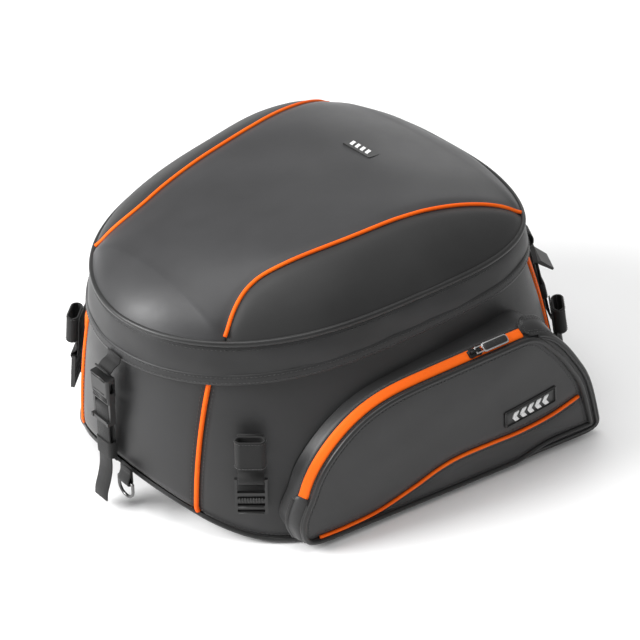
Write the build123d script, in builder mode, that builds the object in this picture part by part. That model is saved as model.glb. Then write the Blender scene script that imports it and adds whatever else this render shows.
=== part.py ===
"""Motorcycle tail bag: moulded base, soft walls, domed zip lid, two wedge pockets and its straps.

Frame: +X towards the rider (wide end), -X the bike's rear (rounded, upswept end), +Y the bike's
left, +Z up.  The origin lies on the base's flat resting face.  All sizes are in millimetres.
"""
from build123d import *
import os
from math import atan2, cos, degrees, hypot, radians, sin, sqrt

os.makedirs("parts", exist_ok=True)

# ---------------------------------------------------------------- driving dimensions
LID_LENGTH = 425.0          # lid ring, rear to front
LID_WIDTH = 354.0           # lid ring, left to right
RING_HEIGHT = 225.0         # height of the lid ring above the ground, at the bag's middle
RING_TILT = 0.048           # the lid ring rises towards the rider
HEM_TILT = 0.065            # the skirt's lower edge rises a little more
SKIRT_HEIGHT = 37.0         # ring to lower edge of the skirt
SKIRT_FLARE = 8.0           # the skirt stands out this much at its lower edge
SKIRT_WALL = 3.0
HEM_BAND = 10.0             # stitched rain-flap band round the skirt's lower edge
DOME_RISE = 51.5            # lid crown above the ring
PANEL_WALL = 2.5            # lid's outer fabric with its backing
FOAM_WALL = 4.0             # lid's foam lining
PIPING_R = 3.0              # lid ring piping

BASE_LENGTH = 493.0         # base seam, rear to front
BASE_WIDTH = 380.0
BODY_WALL = 3.0             # padded side wall
BODY_TUCK = 6.0             # body's top edge lies this far inside the skirt
WALL_TOP = 5.0              # body's top edge above the skirt's lower edge
WALL_BULGE = 6.0            # the walls swell this much at half height
BASE_PLATE = 4.0            # moulded base tray
UPSWEEP_START = -150.0      # the base leaves the ground here, towards the rear
UPSWEEP_RISE = 50.0         # height of the base seam at the rear end
BOARD = 3.0                 # stiffener board on the base

POCKET_OUT = 0.0            # the pocket's face stands this far outside the base's half width, at POCKET_X0
POCKET_X0 = -110.0
POCKET_TAPER = 50.0 / 310.0 # the face moves out this much per mm towards the rider
POCKET_TOP = 151.0          # height of the pocket's straight top, at its middle
POCKET_TOP_SLOPE = 0.06
POCKET_GROUND = 7.0         # pocket's underside above the ground
POCKET_SKIN = 2.5
TAPE_WIDTH = 11.0           # pocket zipper tape
CHAIN_WIDTH = 4.5

WEB = 25.0                  # mounting webbing
STRAP = 20.0                # compression-strap webbing
WEB_T = 1.6                 # webbing thickness
GAP = 0.4                   # clearance between parts that move past each other
MOUNT_PIN_R = 1.8           # bar of the mounting buckle
MOUNT_BUCKLE_H = 38.0
MOUNT_BUCKLE_T = 4.0
REAR_STRAP_X = -239.0       # plane of the rear strap
PLUG_TRAVEL = 30.0          # the plug leaves its housing over this much
DRING_R = 1.6

TRIM = 2.2                  # how far a sewn-in cord piping stands proud
LID_PIPING_W = 5.0          # width of the orange lid piping
WALL_PIPING_W = 5.0

# ---------------------------------------------------------------- plan outlines (x, half width)
X_REF = 34.0                # the lid's tilt turns about this x
RING_SHAPE = [(-215, 0), (-211, 32), (-181, 91), (-132, 132), (-60, 159), (30, 173),
              (105, 177), (160, 158), (196, 104), (209, 42), (210, 0)]
BASE_SHAPE = [(-231, 0), (-226, 38), (-206, 88), (-172, 138), (-112, 180), (-15, 189),
              (100, 190), (188, 182), (235, 152), (257, 88), (262, 0)]


def closed(half):
    """Both halves of an outline that is symmetric about the bag's middle plane."""
    return half + [(x, -y) for x, y in reversed(half[1:-1])]


def fitted(half, length, width):
    """An outline stretched to a length and a full width."""
    middle = (half[0][0] + half[-1][0]) / 2
    kx = length / (half[-1][0] - half[0][0])
    ky = width / 2 / max(y for x, y in half)
    return [(middle + (x - middle) * kx, y * ky) for x, y in half]


def grown(points, distance):
    """A closed outline moved outwards by a distance."""
    result = []
    count = len(points)
    for i, (x, y) in enumerate(points):
        (x0, y0), (x1, y1) = points[i - 1], points[(i + 1) % count]
        length = hypot(x1 - x0, y1 - y0)
        result.append((x - (y1 - y0) / length * distance, y + (x1 - x0) / length * distance))
    return result


RING = closed(fitted(RING_SHAPE, LID_LENGTH, LID_WIDTH))
BASE = closed(fitted(BASE_SHAPE, BASE_LENGTH, BASE_WIDTH))


def lid_plane(height):
    """Plane at a height above the skirt's lower edge; it tilts with the lid."""
    share = min(height / SKIRT_HEIGHT, 1.0)
    tilt = HEM_TILT + (RING_TILT - HEM_TILT) * share
    level = RING_HEIGHT - SKIRT_HEIGHT + height
    return Plane(origin=(X_REF, 0, level), x_dir=(1, 0, tilt), z_dir=(-tilt, 0, 1))


def hem_level(x):
    """Height of the skirt's lower edge at an x."""
    return RING_HEIGHT - SKIRT_HEIGHT + HEM_TILT * (x - X_REF)


def section(plane, points, x_ref=0.0):
    """A smooth closed face through points, in a plane."""
    with BuildSketch(plane) as face:
        with BuildLine():
            Spline(*[(x - x_ref, y) for x, y in points], periodic=True)
        make_face()
    return face.sketch


def skirt_points(height, distance):
    """Outline of the skirt at a height above its lower edge, moved outwards."""
    return grown(RING, SKIRT_FLARE * (1 - height / SKIRT_HEIGHT) + distance)


def skirt_solid(low, high, distance):
    """The space inside the skirt between two heights."""
    with BuildPart() as solid:
        loft(sections=[section(lid_plane(h), skirt_points(h, distance), X_REF) for h in (low, high)])
    return solid.part


def body_solid(distance):
    """The space inside the body's walls, from the ground to the body's top edge."""
    top = skirt_points(WALL_TOP, distance - BODY_TUCK)
    low = grown(BASE, distance)
    middle = grown([((x0 + x1) / 2, (y0 + y1) / 2) for (x0, y0), (x1, y1) in zip(low, top)], WALL_BULGE)
    half_way = (RING_HEIGHT - SKIRT_HEIGHT + WALL_TOP) / 2
    half_tilted = Plane(origin=(X_REF, 0, half_way), x_dir=(1, 0, HEM_TILT / 2), z_dir=(-HEM_TILT / 2, 0, 1))
    with BuildPart() as solid:
        loft(sections=[section(Plane.XY, low), section(half_tilted, middle, X_REF),
                       section(lid_plane(WALL_TOP), top, X_REF)])
    return solid.part


DOME_SECTIONS = [(0.0, 1.0, 1.0, -2.5), (0.31, 0.925, 0.93, -5.0), (0.62, 0.79, 0.81, -10.0),
                 (0.84, 0.63, 0.68, -15.0), (0.955, 0.42, 0.47, -18.0), (1.0, 0.18, 0.22, -18.0)]


def dome_solid(distance):
    """The space under the lid's dome; distance moves its surface out."""
    sections = []
    for rise, kx, ky, centre in DOME_SECTIONS:
        height = SKIRT_HEIGHT + DOME_RISE * rise + (distance * (0.35 + 0.65 * rise) if rise else 0)
        kx += distance / LID_LENGTH * 2 * (1 - 0.8 * rise)
        ky += distance / LID_WIDTH * 2 * (1 - 0.8 * rise)
        points = [(centre + (x + 2.5) * kx, y * ky) for x, y in RING]
        sections.append(section(lid_plane(height), points, X_REF))
    with BuildPart() as solid:
        loft(sections=sections)
    return solid.part


def under_base(height):
    """Everything below the base's curve, raised by a height."""
    rear = -330.0
    fall = (UPSWEEP_START - rear) / (UPSWEEP_START + 231.0)
    with BuildPart() as solid:
        with BuildSketch(Plane.XZ.offset(-300)):
            with BuildLine():
                Polyline((rear, height + UPSWEEP_RISE * fall ** 2), (rear, -20), (320, -20),
                         (320, height), (UPSWEEP_START, height))
                Spline((UPSWEEP_START, height),
                       (UPSWEEP_START - 45, height + UPSWEEP_RISE * (45 / 81) ** 2),
                       (UPSWEEP_START - 81, height + UPSWEEP_RISE),
                       (rear, height + UPSWEEP_RISE * fall ** 2), tangents=[(-1, 0), (-1, 2.6)])
            make_face()
        extrude(amount=600)
    return solid.part


def block(x0, x1, y0, y1, z0, z1):
    """A box between two corners."""
    with BuildPart() as solid:
        with BuildSketch(Plane.XY.offset(z0)):
            with Locations(((x0 + x1) / 2, (y0 + y1) / 2)):
                Rectangle(x1 - x0, y1 - y0)
        extrude(amount=z1 - z0)
    return solid.part


def finish(piece, name):
    """Label a piece and write it."""
    piece.label = name
    export_step(piece, f"parts/{name}.step")


def pair(piece, name):
    """Write a piece and its mirror image as one node."""
    with BuildPart() as both:
        add(piece)
        add(mirror(piece, about=Plane.XZ))
    finish(both.part, name)


def both_sides(piece, name):
    """Write a piece of the left side and its mirror image on the right."""
    with BuildPart() as left:
        add(piece)
    finish(left.part, f"{name}_left")
    with BuildPart() as right:
        add(mirror(piece, about=Plane.XZ))
    finish(right.part, f"{name}_right")


# ---------------------------------------------------------------- body walls and base
OUTER = body_solid(0)
INNER = body_solid(-BODY_WALL)
REAR_SEAM_Y = 92.0          # the rear panel ends at the rear orange pipings
FRONT_SEAM_Y = 150.0        # the front panel ends at the front ones

with BuildPart() as base_tray:
    add(OUTER)
    add(under_base(BASE_PLATE), mode=Mode.INTERSECT)
    add(under_base(0), mode=Mode.SUBTRACT)
finish(base_tray.part, "base_tray")

with BuildPart() as base_board:
    add(body_solid(-BODY_WALL - 6))
    add(under_base(BASE_PLATE + BOARD), mode=Mode.INTERSECT)
    add(under_base(BASE_PLATE), mode=Mode.SUBTRACT)
    add(block(UPSWEEP_START + 10, 300, -200, 200, -5, 40), mode=Mode.INTERSECT)
finish(base_board.part, "base_board")

with BuildPart() as walls:
    add(OUTER)
    add(INNER, mode=Mode.SUBTRACT)
    add(under_base(BASE_PLATE), mode=Mode.SUBTRACT)

REAR_ZONE = block(-300, 0, -REAR_SEAM_Y, REAR_SEAM_Y, -5, 260)
FRONT_ZONE = block(0, 300, -FRONT_SEAM_Y, FRONT_SEAM_Y, -5, 260)

with BuildPart() as rear_wall:
    add(walls.part)
    add(REAR_ZONE, mode=Mode.INTERSECT)
finish(rear_wall.part, "rear_wall")

with BuildPart() as front_wall:
    add(walls.part)
    add(FRONT_ZONE, mode=Mode.INTERSECT)
finish(front_wall.part, "front_wall")

with BuildPart() as side_wall:
    add(walls.part)
    add(block(-300, 300, 0, 300, -5, 260), mode=Mode.INTERSECT)
    add(REAR_ZONE, mode=Mode.SUBTRACT)
    add(FRONT_ZONE, mode=Mode.SUBTRACT)
both_sides(side_wall.part, "side_wall")

# cord pipings sewn into the wall seams, and the piping round the base seam
PROUD = body_solid(TRIM)

with BuildPart() as below_flap:
    with BuildSketch(lid_plane(-1.5)):
        Rectangle(700, 600)
    extrude(amount=-260)

with BuildPart() as wall_trim:
    add(PROUD)
    add(OUTER, mode=Mode.SUBTRACT)
    add(below_flap.part, mode=Mode.INTERSECT)
    add(under_base(BASE_PLATE + 4), mode=Mode.SUBTRACT)

with BuildPart() as rear_piping:
    add(wall_trim.part)
    add(block(-300, 0, REAR_SEAM_Y - WALL_PIPING_W / 2, REAR_SEAM_Y + WALL_PIPING_W / 2, -5, 260),
        mode=Mode.INTERSECT)
pair(rear_piping.part, "rear_pipings")

with BuildPart() as front_piping:
    add(wall_trim.part)
    add(block(0, 300, FRONT_SEAM_Y - WALL_PIPING_W / 2, FRONT_SEAM_Y + WALL_PIPING_W / 2, -5, 260),
        mode=Mode.INTERSECT)
pair(front_piping.part, "front_pipings")

with BuildPart() as base_piping:
    add(PROUD)
    add(OUTER, mode=Mode.SUBTRACT)
    add(under_base(BASE_PLATE + 4), mode=Mode.INTERSECT)
    add(under_base(2), mode=Mode.SUBTRACT)
finish(base_piping.part, "base_piping")

# ---------------------------------------------------------------- main zipper
with BuildPart() as body_zip_tape:
    add(skirt_solid(0.5, 7.8, -SKIRT_WALL - 0.8))
    add(skirt_solid(0.5, 7.8, -SKIRT_WALL - 1.8), mode=Mode.SUBTRACT)
finish(body_zip_tape.part, "body_zip_tape")

with BuildPart() as lid_zip_tape:
    add(skirt_solid(8.4, 20, -SKIRT_WALL - 0.1))
    add(skirt_solid(8.4, 20, -SKIRT_WALL - 1.1), mode=Mode.SUBTRACT)
finish(lid_zip_tape.part, "lid_zip_tape")

# ---------------------------------------------------------------- lid
with BuildPart() as lid_skirt:
    add(skirt_solid(0, SKIRT_HEIGHT, 0))
    add(skirt_solid(0, SKIRT_HEIGHT, -SKIRT_WALL), mode=Mode.SUBTRACT)
finish(lid_skirt.part, "lid_skirt")

with BuildPart() as hem_band:
    add(skirt_solid(0, HEM_BAND, 1.2))
    add(skirt_solid(0, HEM_BAND, 0), mode=Mode.SUBTRACT)
finish(hem_band.part, "hem_band")

with BuildPart() as lid_piping:
    with BuildLine(lid_plane(SKIRT_HEIGHT)) as ring_path:
        Spline(*[(x - X_REF, y) for x, y in grown(RING, 0.5)], periodic=True)
    with BuildSketch(Plane(origin=ring_path.wire() @ 0, z_dir=ring_path.wire() % 0)):
        Circle(PIPING_R)
    sweep(path=ring_path.wire())
finish(lid_piping.part, "lid_piping")

DOME = dome_solid(0)
DOME_INNER = dome_solid(-PANEL_WALL)

with BuildPart() as dome_skin:
    add(DOME)
    add(DOME_INNER, mode=Mode.SUBTRACT)

PIPING_CURVE = [(-215, 128), (-185, 109), (-150, 92), (-122, 87), (-88, 92), (-30, 103), (38, 113),
                (88, 123), (130, 133), (180, 147), (215, 158)]


def lid_zone(shift_in, shift_out):
    """A tall wall between two copies of the lid piping's plan curve, shifted in y."""
    with BuildPart() as solid:
        with BuildSketch(Plane.XY.offset(150)):
            with BuildLine():
                Spline(*[(x, y + shift_in) for x, y in PIPING_CURVE])
                Spline(*[(x, y + shift_out) for x, y in PIPING_CURVE])
                for x, y in (PIPING_CURVE[0], PIPING_CURVE[-1]):
                    Line((x, y + shift_in), (x, y + shift_out))
            make_face()
        extrude(amount=200)
    return solid.part


SIDE_ZONE = lid_zone(0, 150)

with BuildPart() as lid_side_panel:
    add(dome_skin.part)
    add(SIDE_ZONE, mode=Mode.INTERSECT)
both_sides(lid_side_panel.part, "lid_side_panel")

with BuildPart() as lid_centre_panel:
    add(dome_skin.part)
    add(SIDE_ZONE, mode=Mode.SUBTRACT)
    add(mirror(SIDE_ZONE, about=Plane.XZ), mode=Mode.SUBTRACT)
finish(lid_centre_panel.part, "lid_centre_panel")

with BuildPart() as lid_foam:
    add(DOME_INNER)
    add(dome_solid(-PANEL_WALL - FOAM_WALL), mode=Mode.SUBTRACT)
finish(lid_foam.part, "lid_foam")

with BuildPart() as lid_accent:
    add(dome_solid(TRIM))
    add(DOME, mode=Mode.SUBTRACT)
    add(lid_zone(-LID_PIPING_W / 2, LID_PIPING_W / 2), mode=Mode.INTERSECT)
    with BuildSketch(lid_plane(SKIRT_HEIGHT + PIPING_R + 0.5)):
        Rectangle(700, 600)
    extrude(amount=-60, mode=Mode.SUBTRACT)
pair(lid_accent.part, "lid_accent_pipings")

BADGE_X, BADGE_L, BADGE_W, BADGE_T = 88.0, 40.0, 15.0, 3.0
BADGE_PITCH = -0.12          # the dome falls towards the front here
BADGE_Z = RING_HEIGHT + RING_TILT * (BADGE_X - X_REF) + 47.5
BADGE_PLANE = Plane(origin=(BADGE_X, 0, BADGE_Z), x_dir=(1, 0, BADGE_PITCH), z_dir=(-BADGE_PITCH, 0, 1))

with BuildPart() as lid_badge:
    with BuildSketch(BADGE_PLANE.offset(-4)):
        RectangleRounded(BADGE_W, BADGE_L, 2)
    extrude(amount=4 + BADGE_T)
    add(DOME, mode=Mode.SUBTRACT)
finish(lid_badge.part, "lid_badge")

with BuildPart() as lid_badge_emblem:
    with BuildSketch(BADGE_PLANE.offset(BADGE_T)):
        RectangleRounded(BADGE_W - 6, BADGE_L - 8, 2)
    extrude(amount=0.8)
finish(lid_badge_emblem.part, "lid_badge_emblem")

# ---------------------------------------------------------------- side pockets (left one, then mirrored)


def face_y(x):
    """Distance of the pocket's face from the middle plane."""
    return BASE_WIDTH / 2 + POCKET_OUT + POCKET_TAPER * (x - POCKET_X0)


def top_z(x):
    """Height of the pocket's straight top."""
    return POCKET_TOP + POCKET_TOP_SLOPE * (x - X_REF)


POCKET_REAR = [(-140, POCKET_GROUND), (-147, 40), (-130, 92), (-90, 130), (-30, top_z(-30))]
POCKET_FRONT = [(106, top_z(106)), (143, 140), (169, 106), (206, POCKET_GROUND)]


def pocket_prism(growth):
    """The pocket's side outline, moved out and extruded across the bag's left half."""
    with BuildPart() as solid:
        with BuildSketch(Plane(origin=(0, 130, 0), x_dir=(1, 0, 0), z_dir=(0, -1, 0))):
            with BuildLine():
                knots = grown(POCKET_REAR + POCKET_FRONT, growth)
                rear, front = knots[:len(POCKET_REAR)], knots[len(POCKET_REAR):]
                Spline(*rear, tangents=[(-0.6, 1), (1, POCKET_TOP_SLOPE)])
                Line(rear[-1], front[0])
                Spline(*front, tangents=[(1, POCKET_TOP_SLOPE), (0.25, -1)])
                Line(front[-1], rear[0])
            make_face()
        extrude(amount=-150)
    return solid.part


def face_layer(near, far):
    """The layer between two surfaces parallel to the pocket's face."""
    with BuildPart() as solid:
        with BuildSketch(Plane.XY.offset(-10)):
            with BuildLine():
                Polyline((-300, face_y(-300) + near), (300, face_y(300) + near),
                         (300, face_y(300) + far), (-300, face_y(-300) + far), close=True)
            make_face()
        extrude(amount=220)
    return solid.part


POCKET = pocket_prism(0)
POCKET_INSET = pocket_prism(-POCKET_SKIN)

with BuildPart() as pocket_face:
    add(POCKET)
    add(face_layer(-POCKET_SKIN, 0), mode=Mode.INTERSECT)
both_sides(pocket_face.part, "pocket_face")

with BuildPart() as pocket_gusset:
    add(POCKET)
    add(POCKET_INSET, mode=Mode.SUBTRACT)
    add(face_layer(-200, -POCKET_SKIN), mode=Mode.INTERSECT)
    add(PROUD, mode=Mode.SUBTRACT)
both_sides(pocket_gusset.part, "pocket_gusset")

with BuildPart() as pocket_piping:
    add(pocket_prism(TRIM))
    add(POCKET, mode=Mode.SUBTRACT)
    add(face_layer(-3.5, 1.0), mode=Mode.INTERSECT)
both_sides(pocket_piping.part, "pocket_piping")

ZIP_MID = -11.0             # middle of the zipper, measured in from the pocket's face
ZIP_END_X = 104.0
ZIP_START_Z = 60.0
TAPE_T, CHAIN_T = 1.0, 1.6
FLAP_T = 3.0


def zip_band(low, high, width):
    """A band on the gusset along the zipper's line."""
    with BuildPart() as solid:
        add(pocket_prism(high))
        add(pocket_prism(low), mode=Mode.SUBTRACT)
        add(face_layer(ZIP_MID - width / 2, ZIP_MID + width / 2), mode=Mode.INTERSECT)
        add(PROUD, mode=Mode.SUBTRACT)
    return solid.part


with BuildPart() as pocket_zip:
    add(zip_band(0, TAPE_T, TAPE_WIDTH))
    add(zip_band(TAPE_T, TAPE_T + CHAIN_T, CHAIN_WIDTH))
    add(block(-200, ZIP_END_X, 0, 300, ZIP_START_Z, 200), mode=Mode.INTERSECT)
both_sides(pocket_zip.part, "pocket_zip")

with BuildPart() as pocket_zip_ends:
    add(zip_band(0, FLAP_T, 24))
    add(face_layer(-60, -4), mode=Mode.INTERSECT)
    add(block(ZIP_END_X + 1, 152, 0, 300, 112, 200), mode=Mode.INTERSECT)
    with BuildPart(mode=Mode.PRIVATE) as garage:
        add(zip_band(0, FLAP_T, 13))
        add(block(-200, -100, 0, 300, 14, ZIP_START_Z - 1), mode=Mode.INTERSECT)
    add(garage.part)
both_sides(pocket_zip_ends.part, "pocket_zip_ends")

# slider and pull, in a frame whose x runs along the zipper and whose z leaves the gusset
SLIDER_X = 50.0
RUN = (1, POCKET_TAPER, POCKET_TOP_SLOPE)
LIFT = (-POCKET_TOP_SLOPE, -POCKET_TOP_SLOPE * POCKET_TAPER, 1 + POCKET_TAPER ** 2)
SLIDER_PLANE = Plane(origin=(SLIDER_X, face_y(SLIDER_X) + ZIP_MID, top_z(SLIDER_X)), x_dir=RUN, z_dir=LIFT)
SLIDER_LOW = TAPE_T + CHAIN_T + GAP
SLIDER_TOP = SLIDER_LOW + 3.5
PULL_BAR_R = 0.9
PULL_BAR_Z = SLIDER_TOP + GAP + PULL_BAR_R

with BuildPart() as pocket_slider:
    with BuildSketch(SLIDER_PLANE.offset(SLIDER_LOW)):
        RectangleRounded(14, 9, 2.5)
    extrude(amount=SLIDER_TOP - SLIDER_LOW)
    with BuildSketch(SLIDER_PLANE.offset(SLIDER_TOP)):
        with Locations((-3.5, 0), (3.5, 0)):
            Rectangle(1.6, 3)
    extrude(amount=PULL_BAR_Z + PULL_BAR_R + GAP - SLIDER_TOP)
    with BuildSketch(SLIDER_PLANE.offset(PULL_BAR_Z + PULL_BAR_R + GAP)):
        Rectangle(8.6, 3)
    extrude(amount=1.2)
both_sides(pocket_slider.part, "pocket_slider")

BAR_PLANE = SLIDER_PLANE.offset(PULL_BAR_Z)
with BuildPart() as pocket_pull:
    with BuildSketch(Plane(origin=BAR_PLANE.from_local_coords((0, -4.5, 0)), x_dir=BAR_PLANE.x_dir,
                           z_dir=BAR_PLANE.y_dir)):
        Circle(PULL_BAR_R)
    extrude(amount=9)
    with BuildSketch(BAR_PLANE.offset(-PULL_BAR_R)):
        with Locations((4.5, -3.5), (4.5, 3.5)):
            Rectangle(10.8, 2)
        with Locations((24, 0)):
            RectangleRounded(30, 9, 2)
    extrude(amount=2 * PULL_BAR_R)
both_sides(pocket_pull.part, "pocket_pull")

# accent piping and badge on the pocket's face
ACCENT = [(-128, 11), (-98, 11), (-62, 15), (-25, 29), (8, 42), (40, 47), (100, 47), (140, 50), (178, 61)]
ACCENT_W = 4.0

with BuildPart() as pocket_accent:
    with BuildSketch(Plane(origin=(0, 150, 0), x_dir=(1, 0, 0), z_dir=(0, -1, 0))):
        with BuildLine():
            Spline(*[(x, z + ACCENT_W / 2) for x, z in ACCENT])
            Spline(*[(x, z - ACCENT_W / 2) for x, z in ACCENT])
            for x, z in (ACCENT[0], ACCENT[-1]):
                Line((x, z - ACCENT_W / 2), (x, z + ACCENT_W / 2))
        make_face()
    extrude(amount=-150)
    add(face_layer(0, 1.8), mode=Mode.INTERSECT)
both_sides(pocket_accent.part, "pocket_accent")

TAG_PLANE = Plane(origin=(112, face_y(112), 74), x_dir=(1, POCKET_TAPER, 0.1),
                  z_dir=(-POCKET_TAPER, 1, 0))
with BuildPart() as pocket_tag:
    with BuildSketch(TAG_PLANE):
        RectangleRounded(66, 20, 2)
    extrude(amount=2)
    with BuildSketch(TAG_PLANE.offset(2)):
        RectangleRounded(58, 13, 1)
    extrude(amount=0.8)
both_sides(pocket_tag.part, "pocket_tag")

# ---------------------------------------------------------------- rear strap: housing on the lid, plug below
STRAP_BACK = REAR_STRAP_X + 2.2          # inner face of the strap's back layer
LOOP_GAP = 3.4                           # between the strap's two layers
STRAP_FRONT = STRAP_BACK - 2 * WEB_T - LOOP_GAP
BAR_X = (STRAP_BACK + STRAP_FRONT) / 2
HOUSING_TOP, HOUSING_LOW = 160.0, 137.0
HOUSING_W, HOUSING_T = 28.0, 11.0
SOCKET_W, SOCKET_T = 22.0, 6.5
LOOP_TOP = 124.0                         # the strap turns round the plug's bar here
PLUG_LOW = 104.0
KEEPER_LOW, KEEPER_HIGH = 62.0, 81.0
TAIL_LOW = 12.0
HEM_REAR_Z = hem_level(-223)


def strap_profile(points, thickness):
    """A webbing's side profile in the XZ plane: a centre line given a thickness."""
    with BuildSketch(Plane.XZ) as profile:
        with BuildLine():
            Polyline(*points)
        trace(line_width=thickness)
    return profile.sketch


with BuildPart() as rear_tab:
    add(extrude(strap_profile([(-225.3, HEM_REAR_Z - 1.5), (BAR_X + 1, 160.5), (BAR_X - 0.4, 164.5)], WEB_T),
                amount=STRAP / 2, both=True, mode=Mode.PRIVATE))
finish(rear_tab.part, "rear_tab")

with BuildPart() as rear_buckle_housing:
    with BuildSketch(Plane.XY.offset(HOUSING_LOW)):
        with Locations((BAR_X, 0)):
            RectangleRounded(HOUSING_T, HOUSING_W, 3)
    extrude(amount=HOUSING_TOP - HOUSING_LOW - 3)
    with BuildSketch(Plane.XY.offset(HOUSING_LOW)):
        with Locations((BAR_X, 0)):
            Rectangle(SOCKET_T, SOCKET_W)
    extrude(amount=19, mode=Mode.SUBTRACT)
    with BuildSketch(Plane.XZ.offset(-HOUSING_W / 2)):
        with Locations((BAR_X, HOUSING_LOW + 10)):
            SlotOverall(12, 5, rotation=90)
    extrude(amount=HOUSING_W, mode=Mode.SUBTRACT)
finish(rear_buckle_housing.part, "rear_buckle_housing")

with BuildPart() as rear_buckle_plug:
    with BuildSketch(Plane.XY.offset(HOUSING_LOW - 8)):
        with Locations((BAR_X, 0)):
            RectangleRounded(HOUSING_T - 2, HOUSING_W - 1, 2)
    extrude(amount=8 - GAP)
    with BuildSketch(Plane.XY.offset(HOUSING_LOW - GAP)):
        with Locations((BAR_X, 0), (BAR_X, -SOCKET_W / 2 + 2.6), (BAR_X, SOCKET_W / 2 - 2.6)):
            Rectangle(SOCKET_T - 2, 3.6)
    extrude(amount=16)
    with BuildSketch(Plane.XY.offset(PLUG_LOW)):
        with Locations((BAR_X, -STRAP / 2 - 2), (BAR_X, STRAP / 2 + 2)):
            Rectangle(6, 3)
    extrude(amount=HOUSING_LOW - 8 - PLUG_LOW)
    with BuildSketch(Plane.XZ.offset(-STRAP / 2 - 1)):
        with Locations((BAR_X, LOOP_TOP - WEB_T - LOOP_GAP / 2)):
            Circle(LOOP_GAP / 2 - GAP)
        with Locations((STRAP_FRONT - GAP - 1.2, PLUG_LOW + 2)):
            Rectangle(2.4, 4)
    extrude(amount=STRAP + 2)
    with BuildSketch(Plane.XY.offset(PLUG_LOW)):
        with Locations((STRAP_FRONT - GAP - 1.2, -STRAP / 2 - 2), (STRAP_FRONT - GAP - 1.2, STRAP / 2 + 2)):
            Rectangle(4, 3)
    extrude(amount=4)
finish(rear_buckle_plug.part, "rear_buckle_plug")

BACK_LINE = STRAP_BACK - WEB_T / 2
FRONT_LINE = STRAP_FRONT + WEB_T / 2
TURN_Z = LOOP_TOP - WEB_T / 2 - (BACK_LINE - FRONT_LINE) / 2

with BuildPart() as rear_strap:
    with BuildSketch(Plane.XZ.offset(-STRAP / 2)):
        with BuildLine():
            Line((BACK_LINE, 56), (BACK_LINE, TURN_Z))
            ThreePointArc((BACK_LINE, TURN_Z), ((BACK_LINE + FRONT_LINE) / 2, LOOP_TOP - WEB_T / 2),
                          (FRONT_LINE, TURN_Z))
            Polyline((FRONT_LINE, TURN_Z), (FRONT_LINE, 46), (FRONT_LINE - 9, TAIL_LOW))
        trace(line_width=WEB_T)
    extrude(amount=STRAP)
finish(rear_strap.part, "rear_strap")

with BuildPart() as rear_keeper:
    with BuildSketch(Plane.XY.offset(KEEPER_LOW)):
        with Locations(((STRAP_BACK + STRAP_FRONT) / 2, 0)):
            Rectangle(STRAP_BACK - STRAP_FRONT + 2 * GAP + 3, STRAP + 2 * GAP + 3)
            Rectangle(STRAP_BACK - STRAP_FRONT + 2 * GAP, STRAP + 2 * GAP, mode=Mode.SUBTRACT)
    extrude(amount=KEEPER_HIGH - KEEPER_LOW)
finish(rear_keeper.part, "rear_keeper")

# D-ring beside the strap, hanging from a folded webbing tab
DRING_Y, DRING_BAR_Z, DRING_W, DRING_DROP = -26.0, 43.0, 22.0, 19.0
DRING_X = -239.0
DRING_BORE = DRING_R + GAP

with BuildPart() as dring_tab:
    with BuildSketch(Plane.XZ.offset(-DRING_Y - 8)):
        with Locations((DRING_X, DRING_BAR_Z)):
            Circle(DRING_BORE + WEB_T)
        with Locations((DRING_X + DRING_BORE + WEB_T / 2, DRING_BAR_Z + 9)):
            Rectangle(WEB_T, 18)
        with Locations((DRING_X, DRING_BAR_Z)):
            Circle(DRING_BORE, mode=Mode.SUBTRACT)
    extrude(amount=16)
finish(dring_tab.part, "dring_tab")

with BuildPart() as dring:
    left, right = DRING_Y - DRING_W / 2, DRING_Y + DRING_W / 2
    side_z = DRING_BAR_Z - (DRING_DROP - DRING_W / 2)
    with BuildLine(Plane.YZ.offset(DRING_X)) as dring_line:
        Line((left, DRING_BAR_Z), (left, side_z))
        ThreePointArc((left, side_z), (DRING_Y, DRING_BAR_Z - DRING_DROP), (right, side_z))
        Line((right, side_z), (right, DRING_BAR_Z))
    with BuildSketch(Plane.XY.offset(DRING_BAR_Z)):
        with Locations((DRING_X, left)):
            Circle(DRING_R)
    sweep(path=dring_line.wire())
    with BuildSketch(Plane.XZ.offset(-right)):
        with Locations((DRING_X, DRING_BAR_Z)):
            Circle(DRING_R)
    extrude(amount=DRING_W)
    with Locations((DRING_X, left, DRING_BAR_Z), (DRING_X, right, DRING_BAR_Z)):
        Sphere(DRING_R)
finish(dring.part, "dring")

# ---------------------------------------------------------------- front straps (left one, then mirrored)
FRONT_TURN = 30.0            # the wall's corner turns the strap outwards by this angle
FRONT_LEAN = 15.0            # the wall leans out, going down
FRONT_AT = (230.2, 116.4, 100.0)


def leaning_plane(at, turn, lean):
    """A wall plane: local x runs along the wall, y up it and z out of it."""
    out = Vector(cos(radians(turn)) * cos(radians(lean)), sin(radians(turn)) * cos(radians(lean)),
                 sin(radians(lean)))
    along = Vector(-sin(radians(turn)), cos(radians(turn)), 0)
    return Plane(origin=at, x_dir=along, z_dir=out)


def side_on(plane, half_width):
    """The plane that looks along a strap's width: local x is up, local y is out of the wall."""
    return Plane(origin=plane.from_local_coords((-half_width, 0, 0)), x_dir=plane.y_dir, z_dir=plane.x_dir)


FRONT_PLANE = leaning_plane(FRONT_AT, FRONT_TURN, FRONT_LEAN)
LAYER_IN, LAYER_OUT = 5.2, 9.0           # the two layers' mid planes, out of the wall
LADDER_LOW, LADDER_HIGH = 44.0, 68.0
FRONT_LOOP_TOP = 57.0

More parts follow.
